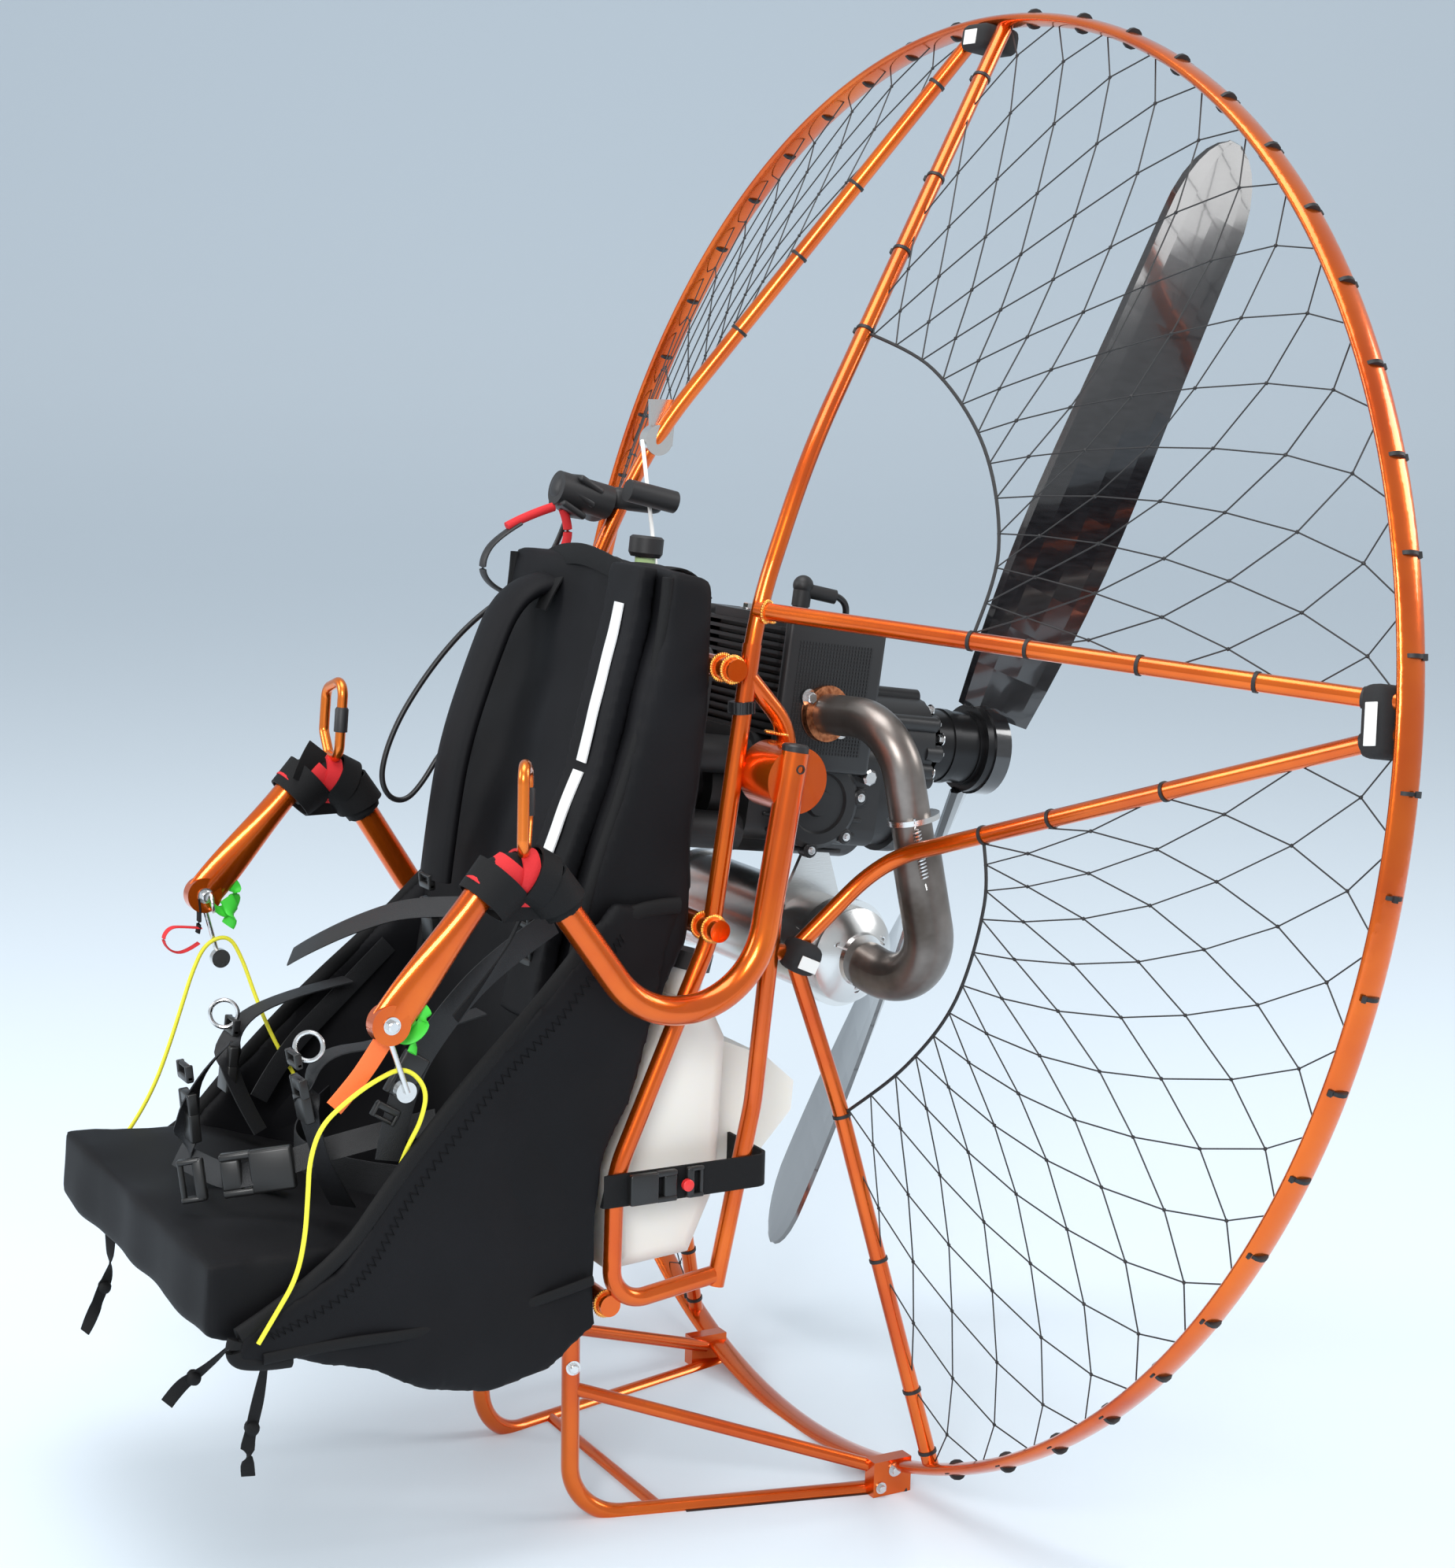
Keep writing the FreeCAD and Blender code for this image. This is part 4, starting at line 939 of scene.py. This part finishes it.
# Zigzag stitching in black thread holds the side panels' reinforcing strips.
panels = {1.0: bpy.data.objects["side_panel_left"], -1.0: bpy.data.objects["side_panel_right"]}
stitches = []
for side in (1.0, -1.0):
    inset = [(0.0, y + 0.016, z - 0.015) for y,
             z in ((-0.450, 0.300), (-0.372, 0.328), (-0.316, 0.396), (-0.245, 0.469),
                                                     (-0.173, 0.531), (-0.110, 0.596))]
    run = []
    for step in range(121):
        place = curve_place(inset, step / 120) + Vector((0.0, 0.0030, -0.0030)) * (1 if step % 2 else -1)
        run.append((side * 0.20, place.y, place.z))
    stitches.append(laid_on(panels[side], run, (-side, 0.0, 0.0), 0.0004))
settle(thread("zigzag_stitches", stitches, 0.0006), "zigzag_stitches", "chassis", binding)

# The right shoulder strap stands clear as a thick padded roll; the left lies on the back under a pale
# reflective tape.
roll = webbing("roll", [(-0.086, 0.002, 0.872), (-0.086, -0.050, 0.872), (-0.086, -0.088, 0.852),
                        (-0.086, -0.112, 0.795), (-0.086, -0.138, 0.722), (-0.086, -0.150, 0.656),
                        (-0.086, -0.158, 0.590)], 0.058, 0.021)
settle(roll, "shoulder_pad_right", "chassis", nylon, 60.0)
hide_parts("shoulder_strap_right")
reflector = finish("reflector", (0.78, 0.78, 0.78), 0.42, specular=0.7)
grain(reflector, 1400.0, 0.4, 0.0004)
tapes = []
shoulder = bpy.data.objects["shoulder_pad_left"]
for first, last in ((0.868, 0.727), (0.719, 0.610)):
    run = [(0.112 - (0.868 - z) * 0.02, -0.10, z)
           for z in (first + (last - first) * step / 6 for step in range(7))]
    tapes.append(webbing("tape", laid_on(shoulder, run, (0.0, 1.0, 0.0), 0.0012), 0.021, 0.0022))
settle(joined(tapes), "reflective_tape", "chassis", reflector)
top_straps = [webbing("collar", [(0.100, -0.046, 0.884), (0.030, -0.050, 0.903), (-0.060, -0.044, 0.900),
                                 (-0.120, -0.030, 0.886)], 0.020, 0.003, 90.0),
              webbing("yoke", [(-0.086, -0.02, 0.874), (-0.120, 0.004, 0.889), (-0.1500, 0.020, 0.880)],
                      0.024, 0.003)]
for x in (0.108, -0.060):
    top_straps.append(webbing("load", [(x, -0.064, 0.846), (x, -0.040, 0.895), (x, 0.004, 0.899),
                                       (x, 0.020, 0.870)],
                              0.024, 0.0022))
settle(joined(top_straps), "top_straps", "chassis", binding, 60.0)

# Grey-black webbing hangs in the seat: the chest strap with its side-release buckle, the two leg loops and
# the straps that run from the side panels up to the levers. Bright rings and thimbles join them.
strap_grey = finish("strap_grey", (0.012, 0.0125, 0.014), 0.5, specular=0.4)
grain(strap_grey, 1100.0, 0.7, 0.0006)
straps = [
    webbing("leg_left", [(0.150, -0.215, 0.520), (0.150, -0.300, 0.500), (0.150, -0.362, 0.500),
                         (0.150, -0.377, 0.465), (0.145, -0.366, 0.425), (0.140, -0.350, 0.380),
                         (0.120, -0.330, 0.352)], 0.024, 0.0018, 0.0),
    webbing("leg_middle", [(0.020, -0.396, 0.480), (0.010, -0.424, 0.452), (0.000, -0.432, 0.400),
                           (0.000, -0.424, 0.358), (0.010, -0.390, 0.350),
                           (0.040, -0.350, 0.352)], 0.024, 0.0018, 10.0),
    webbing("leg_right", [(-0.165, -0.215, 0.480), (-0.160, -0.300, 0.470), (-0.150, -0.345, 0.440),
                          (-0.140, -0.340, 0.395), (-0.120, -0.320, 0.352)], 0.026, 0.0018, 0.0),
    webbing("cross", [(-0.196, -0.262, 0.500), (-0.150, -0.262, 0.520), (-0.060, -0.245, 0.560),
                      (0.020, -0.220, 0.590), (0.100, -0.190, 0.600)], 0.020, 0.0018, 60.0),
    webbing("chest", [(-0.020, -0.432, 0.372), (0.060, -0.428, 0.378), (0.110, -0.420, 0.384),
                      (0.120, -0.330, 0.408), (0.160, -0.260, 0.430)], 0.022, 0.0020, 60.0),
    webbing("side_left", [(0.176, -0.160, 0.600), (0.178, -0.215, 0.570), (0.180, -0.262, 0.526),
                          (0.176, -0.300, 0.470), (0.174, -0.310, 0.405)], 0.024, 0.0018, 90.0),
    webbing("side_right", [(-0.172, -0.170, 0.510), (-0.172, -0.230, 0.455), (-0.171, -0.280, 0.410),
                           (-0.168, -0.305, 0.370)], 0.020, 0.0018, 90.0),
    webbing("lap", [(-0.150, -0.240, 0.366), (-0.080, -0.300, 0.362), (0.000, -0.330, 0.362),
                    (0.090, -0.300, 0.362), (0.150, -0.240, 0.366)], 0.030, 0.0022, 90.0)]
settle(joined(straps), "seat_straps", "chassis", strap_grey, 60.0)
buckle_black = finish("buckle_black", (0.012, 0.012, 0.012), 0.34)


def buckle(place, way, side, scale=1.0):
    """A side-release buckle: a socket with side windows, its two sprung prongs and the sliding bar."""
    turn = turn_to(way, side)
    place = Vector(place)
    pieces_of_buckle = []
    for along_way, size in ((-0.022, (0.030, 0.011, 0.030)), (0.006, (0.022, 0.009, 0.014)),
                            (0.028, (0.030, 0.008, 0.008)),
                            (0.040, (0.030, 0.006, 0.004))):
        centre = place + turn @ Vector((0.0, 0.0, along_way * scale))
        pieces_of_buckle.append(rounded_bar(centre, tuple(value * scale for value in size), turn,
                                            0.0022 * scale))
    for lean in (-1.0, 1.0):
        centre = place + turn @ Vector((lean * 0.0125 * scale, 0.0, 0.002 * scale))
        pieces_of_buckle.append(rounded_bar(centre, (0.0055 * scale, 0.010 * scale, 0.022 * scale), turn,
                                            0.0018 * scale))
        centre = place + turn @ Vector((lean * 0.0130 * scale, 0.0, 0.034 * scale))
        pieces_of_buckle.append(rounded_bar(centre, (0.0040 * scale, 0.008 * scale, 0.016 * scale), turn,
                                            0.0014 * scale))
    return joined(pieces_of_buckle)


buckles = [buckle((0.100, -0.4150, 0.386), (-0.2, -0.4, -0.07), (0.0, 0.3, 1.0), 1.25),
           buckle((0.150, -0.380, 0.470), (0.0, -0.2, 1.0), (1.0, 0.0, 0.0), 0.8),
           buckle((-0.150, -0.340, 0.420), (0.0, 0.1, 1.0), (1.0, 0.0, 0.0), 0.9),
           buckle((0.006, -0.430, 0.425), (0.0, -0.1, 1.0), (1.0, 0.0, 0.0), 0.9),
           buckle((0.176, -0.300, 0.470), (0.0, -0.5, -0.8), (0.0, 0.8, -0.5), 0.8),
           buckle((-0.088, -0.163, 0.560), (0.0, -0.1, 1.0), (1.0, 0.0, 0.0), 0.85),
           buckle((0.108, -0.152, 0.560), (0.0, -0.1, 1.0), (1.0, 0.0, 0.0), 0.85),
           buckle((0.1835, -0.050, 0.351), (0.0, 1.0, 0.0), (0.0, 0.0, 1.0), 0.95)]
settle(joined(buckles), "buckles", "chassis", buckle_black)
red_button = finish("red_button", (0.75, 0.03, 0.03), 0.35)
button = turned((0.1885, -0.028, 0.350), (1.0, 0.0, 0.0),
                [(-0.002, 0.0055), (0.0022, 0.0055), (0.0032, 0.0042)], 24)
settle(button, "buckle_button", "chassis", red_button)


def ring(place, way, radius, wire):
    """A round wire ring."""
    bpy.ops.object.select_all(action="DESELECT")
    bpy.ops.mesh.primitive_torus_add(major_radius=radius, minor_radius=wire, major_segments=28,
                                     minor_segments=10)
    made = bpy.context.object
    flat = made.modifiers.new("flatten", "BEVEL")
    flat.limit_method = "ANGLE"
    bpy.ops.object.modifier_apply(modifier="flatten")
    made.rotation_euler = Vector(way).to_track_quat("Z", "Y").to_euler()
    made.location = place
    bpy.ops.object.transform_apply()
    return made


rings = [ring((-0.150, -0.345, 0.462), (0.9, -0.4, 0.1), 0.013, 0.0022),
         ring((0.150, -0.372, 0.505), (0.8, -0.5, 0.2), 0.012, 0.0022),
         ring((0.108, -0.125, 0.626), (0.0, -1.0, 0.2), 0.012, 0.0018)]
settle(joined(rings), "strap_rings", "chassis", bolt_steel)

# Black ribbons hang knotted from the seat's corners, ready to tie a bag on.
ribbons = [
    webbing("ribbon_right", [(-0.205, -0.440, 0.262), (-0.203, -0.441, 0.238), (-0.200, -0.443, 0.205),
                             (-0.202, -0.452, 0.185), (-0.198, -0.460, 0.168),
                             (-0.200, -0.468, 0.150)], 0.012, 0.0016, 0.0, 140.0),
    webbing("ribbon_front", [(0.120, -0.425, 0.248), (0.110, -0.440, 0.228), (0.104, -0.458, 0.213),
                             (0.100, -0.470, 0.205), (0.098, -0.481, 0.190)], 0.012, 0.0016, 0.0, 120.0),
    webbing("ribbon_left", [(0.205, -0.430, 0.262), (0.202, -0.434, 0.232), (0.200, -0.440, 0.203),
                            (0.203, -0.447, 0.180), (0.200, -0.444, 0.158)], 0.012, 0.0016, 0.0, 160.0)]
for place in ((-0.201, -0.448, 0.192), (0.104, -0.459, 0.212), (0.201, -0.441, 0.200)):
    ribbons.append(rounded_bar(place, (0.014, 0.012, 0.012), turn_to((0.3, 0.4, 1.0), (1.0, 0.0, 0.0)),
                               0.005))
settle(joined(ribbons), "hanging_ribbons", "chassis", binding, 60.0)

# The fuel tank is blown in milky plastic that lets light into it; its filler neck carries a black cap.
tank_milk = finish("tank_milk", (0.80, 0.78, 0.72), 0.42, specular=0.4)
tank_shader = tank_milk.node_tree.nodes["Principled BSDF"]
tank_shader.inputs["Subsurface Weight"].default_value = 0.35
tank_shader.inputs["Subsurface Radius"].default_value = (0.04, 0.035, 0.025)
tank_shader.inputs["Subsurface Scale"].default_value = 0.5
grain(tank_milk, 40.0, 0.05, 0.002)
dress(tank_milk, "fuel_tank")
dress(binding, "tank_strap")
white_line = finish("white_line", (0.82, 0.82, 0.80), 0.6)
dress(white_line, "starter_cord")

# Black webbing is bound round each arm's elbow over a red layer that shows at its edges; the open snap link
# stands in it, orange anodised with a black locking sleeve on its gate.
anodised = finish("anodised", (0.80, 0.19, 0.02), 0.28, metallic=0.9, coat=0.4)
dress(anodised, "carabiner_left", "carabiner_right")
red_cloth = finish("red_cloth", (0.62, 0.015, 0.02), 0.75)
grain(red_cloth, 1100.0, 0.6, 0.0006)
leaf_green = finish("leaf_green", (0.05, 0.62, 0.04), 0.55)
orange_cloth = finish("orange_cloth", (0.85, 0.16, 0.03), 0.65)
grain(orange_cloth, 1100.0, 0.6, 0.0006)
pivot_place = Vector((0.0, 0.054, 0.718))


def belt(skin, centre, way, width, lift):
    """A closed band pulled snug round a soft piece: its own outline there, taken all the way round."""
    way = Vector(way).normalized()
    across = way.orthogonal().normalized()
    up = way.cross(across)
    rows = []
    for share in (-0.5, 0.5):
        row = []
        for step in range(32):
            turn = math.tau * step / 32
            out = across * math.cos(turn) + up * math.sin(turn)
            start = Vector(centre) + way * width * share + out * 0.06
            hit, there = skin.ray_cast(start, -out)[:2]
            row.append((there if hit else Vector(centre) + way * width * share + out * 0.018) + out * lift)
        rows.append(row)
    made = bpy.data.meshes.new("belt")
    corners = [tuple(place) for row in rows for place in row]
    faces = [(step, (step + 1) % 32, 32 + (step + 1) % 32, 32 + step) for step in range(32)]
    made.from_pydata(corners, [], faces)
    band = bpy.data.objects.new("belt", made)
    bpy.context.collection.objects.link(band)
    only(band)
    bpy.ops.object.mode_set(mode="EDIT")
    bpy.ops.mesh.select_all(action="SELECT")
    bpy.ops.mesh.normals_make_consistent(inside=False)
    bpy.ops.object.mode_set(mode="OBJECT")
    wall = band.modifiers.new("wall", "SOLIDIFY")
    wall.thickness = 0.0022
    wall.offset = 0.0
    bpy.ops.object.modifier_apply(modifier="wall")
    return band


for side, hand, lift in ((1.0, "left", 0.0), (-1.0, "right", 3.8)):
    raise_arm = Matrix.Translation(pivot_place) @ Matrix.Rotation(math.radians(-lift), 4, "X")
    raise_arm = raise_arm @ Matrix.Translation(-pivot_place)
    over = sewn("arm_wrap_" + hand, "arm_wrapping_" + hand, 0.0022, 3, 0.03, 0.004, "arm_" + hand,
                binding)
    if side < 0.0:
        over.data.transform(raise_arm.inverted())

    def carried(piece):
        """Carries a piece made for an arm at rest over to this arm."""
        piece.data.transform(raise_arm)
        return piece
    x = side * 0.222
    reds = [belt(over, (x, -0.230, 0.649), (0.0, -0.69, -0.72), 0.034, 0.0012),
            belt(over, (x, -0.211, 0.661), (0.0, -1.0, 0.15), 0.016, 0.0020)]
    blacks = [belt(over, (x, -0.238, 0.642), (0.0, -0.69, -0.72), 0.030, 0.0052),
              belt(over, (x, -0.196, 0.655), (0.0, -1.0, 0.5), 0.020, 0.0056),
              belt(over, (x, -0.176, 0.642), (0.0, -0.50, 0.85), 0.028, 0.0040)]
    if side > 0.0:
        blacks.append(webbing("tail", [(x - 0.020, -0.190, 0.640), (x - 0.024, -0.202, 0.606),
                                       (x - 0.022, -0.226, 0.570),
                                       (x - 0.020, -0.262, 0.530)], 0.020, 0.0020, 0.0, 50.0))
    else:
        blacks.append(webbing("flap", [(x + 0.019, -0.246, 0.650), (x + 0.016, -0.238, 0.668),
                                       (x + 0.010, -0.226, 0.683)],
                              0.022, 0.0018, 90.0, 60.0))
        blacks.append(webbing("pull_root",
                              [(-0.219, -0.336, 0.534), (-0.219, -0.332, 0.515), (-0.219, -0.334, 0.500)],
                              0.012, 0.0030, 0.0))
    settle(carried(joined(reds)), "wrap_red_" + hand, "arm_" + hand, red_cloth, 60.0)
    if side < 0.0:
        over.data.transform(raise_arm)
    settle(carried(joined(blacks)), "wrap_flaps_" + hand, "arm_" + hand, binding, 60.0)
    gate_way = Vector((-0.871, 0.491, 0.0)) if side > 0.0 else Vector((1.0, 0.0, 0.0))
    gate_low = Vector((x, -0.209, 0.700)) + gate_way * 0.0220
    gate = turned(gate_low, (0.0, 0.0, 1.0),
                  [(0.0, 0.0052), (0.0, 0.0066), (0.022, 0.0066), (0.024, 0.0052)], 20)
    settle(carried(gate), "link_gate_" + hand, "arm_" + hand, moulded_black)
    eye = Vector((x, -0.330, 0.537))
    bolts = [bolt(eye + Vector((side * 0.007, 0.0, 0.0)), (side, 0.0, 0.0), 0.0052),
             bolt(eye - Vector((side * 0.007, 0.0, 0.0)), (-side, 0.0, 0.0), 0.0052),
             ring(eye + Vector((-side * 0.012, 0.006, -0.006)), (0.3, 1.0, 0.2), 0.009, 0.0018)]
    settle(carried(joined(bolts)), "lever_bolts_" + hand, "arm_" + hand, bolt_steel)
    green = [webbing("green", [(x - side * 0.004, -0.322, 0.548), (x - side * 0.002, -0.306, 0.552),
                               (x, -0.296, 0.540), (x - side * 0.004, -0.303, 0.524),
                               (x - side * 0.010, -0.316, 0.520),
                               (x - side * 0.012, -0.325, 0.530)], 0.013, 0.003, 90.0, 150.0),
             webbing("green", [(x - side * 0.010, -0.310, 0.535), (x - side * 0.012, -0.300, 0.521),
                               (x - side * 0.008, -0.306, 0.508)], 0.014, 0.004, 90.0)]
    settle(carried(joined(green)), "green_loop_" + hand, "arm_" + hand, leaf_green, 60.0)
    if side > 0.0:
        tab = webbing("tab", [(0.212, -0.331, 0.520), (0.208, -0.342, 0.500), (0.206, -0.356, 0.482),
                              (0.205, -0.371, 0.466)],
                      0.016, 0.003, 90.0)
        settle(tab, "orange_tab", "arm_left", orange_cloth, 60.0)
    else:
        pull = webbing("pull", [(-0.218, -0.331, 0.505), (-0.220, -0.348, 0.506), (-0.220, -0.362, 0.506),
                                (-0.220, -0.369, 0.494), (-0.220, -0.360, 0.482), (-0.220, -0.346, 0.480),
                                (-0.220, -0.332, 0.490)], 0.010, 0.002, 0.0)
        settle(carried(pull), "red_pull", "arm_right", red_cloth, 60.0)

# The hand throttle hangs in its strap on the right top spoke: a black grip with a red button at each end,
# red sleeves on its cables and a stiff strap for the hand. The starter's plate and handle hang beside it.
cluster = [rounded_bar((-0.160, 0.020, 0.950), (0.030, 0.050, 0.030),
                       turn_to((0.0, 0.3, 0.9), (1.0, 0.0, 0.0)), 0.011),
           rounded_bar((-0.158, 0.085, 0.942), (0.020, 0.058, 0.022),
                       turn_to((0.0, 0.1, 0.9), (1.0, 0.0, 0.0)), 0.008)]
cluster.append(webbing("hand_strap", [(-0.160, -0.040, 0.920), (-0.160, -0.066, 0.906),
                                      (-0.160, -0.080, 0.886), (-0.160, -0.078, 0.866),
                                      (-0.160, -0.052, 0.850), (-0.160, -0.020, 0.852),
                                      (-0.160, 0.012, 0.862)], 0.014, 0.0045, 0.0))
for high in (0.0, 0.012, 0.024):
    cluster.append(rounded_bar((-0.158, 0.010 + high * 0.8, 0.934 + high), (0.034, 0.030, 0.007),
                               turn_to((0.0, 0.5, 0.8), (1.0, 0.0, 0.0)), 0.003))
settle(joined(cluster), "throttle_cluster", "chassis", moulded_black)
sleeves = [webbing("sleeve", [(-0.160, -0.054, 0.917), (-0.160, -0.032, 0.928), (-0.160, -0.004, 0.936)],
                   0.009, 0.009),
           webbing("sleeve", [(-0.160, 0.006, 0.934), (-0.160, 0.013, 0.918), (-0.160, 0.010, 0.896),
                              (-0.160, 0.000, 0.880)], 0.009, 0.009),
           turned((-0.149, 0.083, 0.947), (1.0, -0.3, 0.2), [(0.0, 0.006), (0.004, 0.006), (0.006, 0.0045)],
                  20),
           turned((-0.149, 0.112, 0.938), (1.0, 0.3, 0.0), [(0.0, 0.006), (0.004, 0.006), (0.006, 0.0045)],
                  20)]
settle(joined(sleeves), "throttle_reds", "chassis", red_cloth)
filler = [turned((-0.030, 0.030, 0.896), (0.0, 0.1, 1.0),
                 [(0.0, 0.014), (0.004, 0.0165), (0.018, 0.0165), (0.020, 0.014)], 20)]
settle(joined(filler), "breather_cap", "chassis", moulded_black, 30.0)
clear_green = finish("clear_green", (0.45, 0.62, 0.30), 0.15)
neck = turned((-0.030, 0.029, 0.868), (0.0, 0.05, 1.0),
              [(0.0, 0.0085), (0.010, 0.0085), (0.012, 0.010), (0.028, 0.010)], 20)
settle(neck, "breather_neck", "chassis", clear_green)
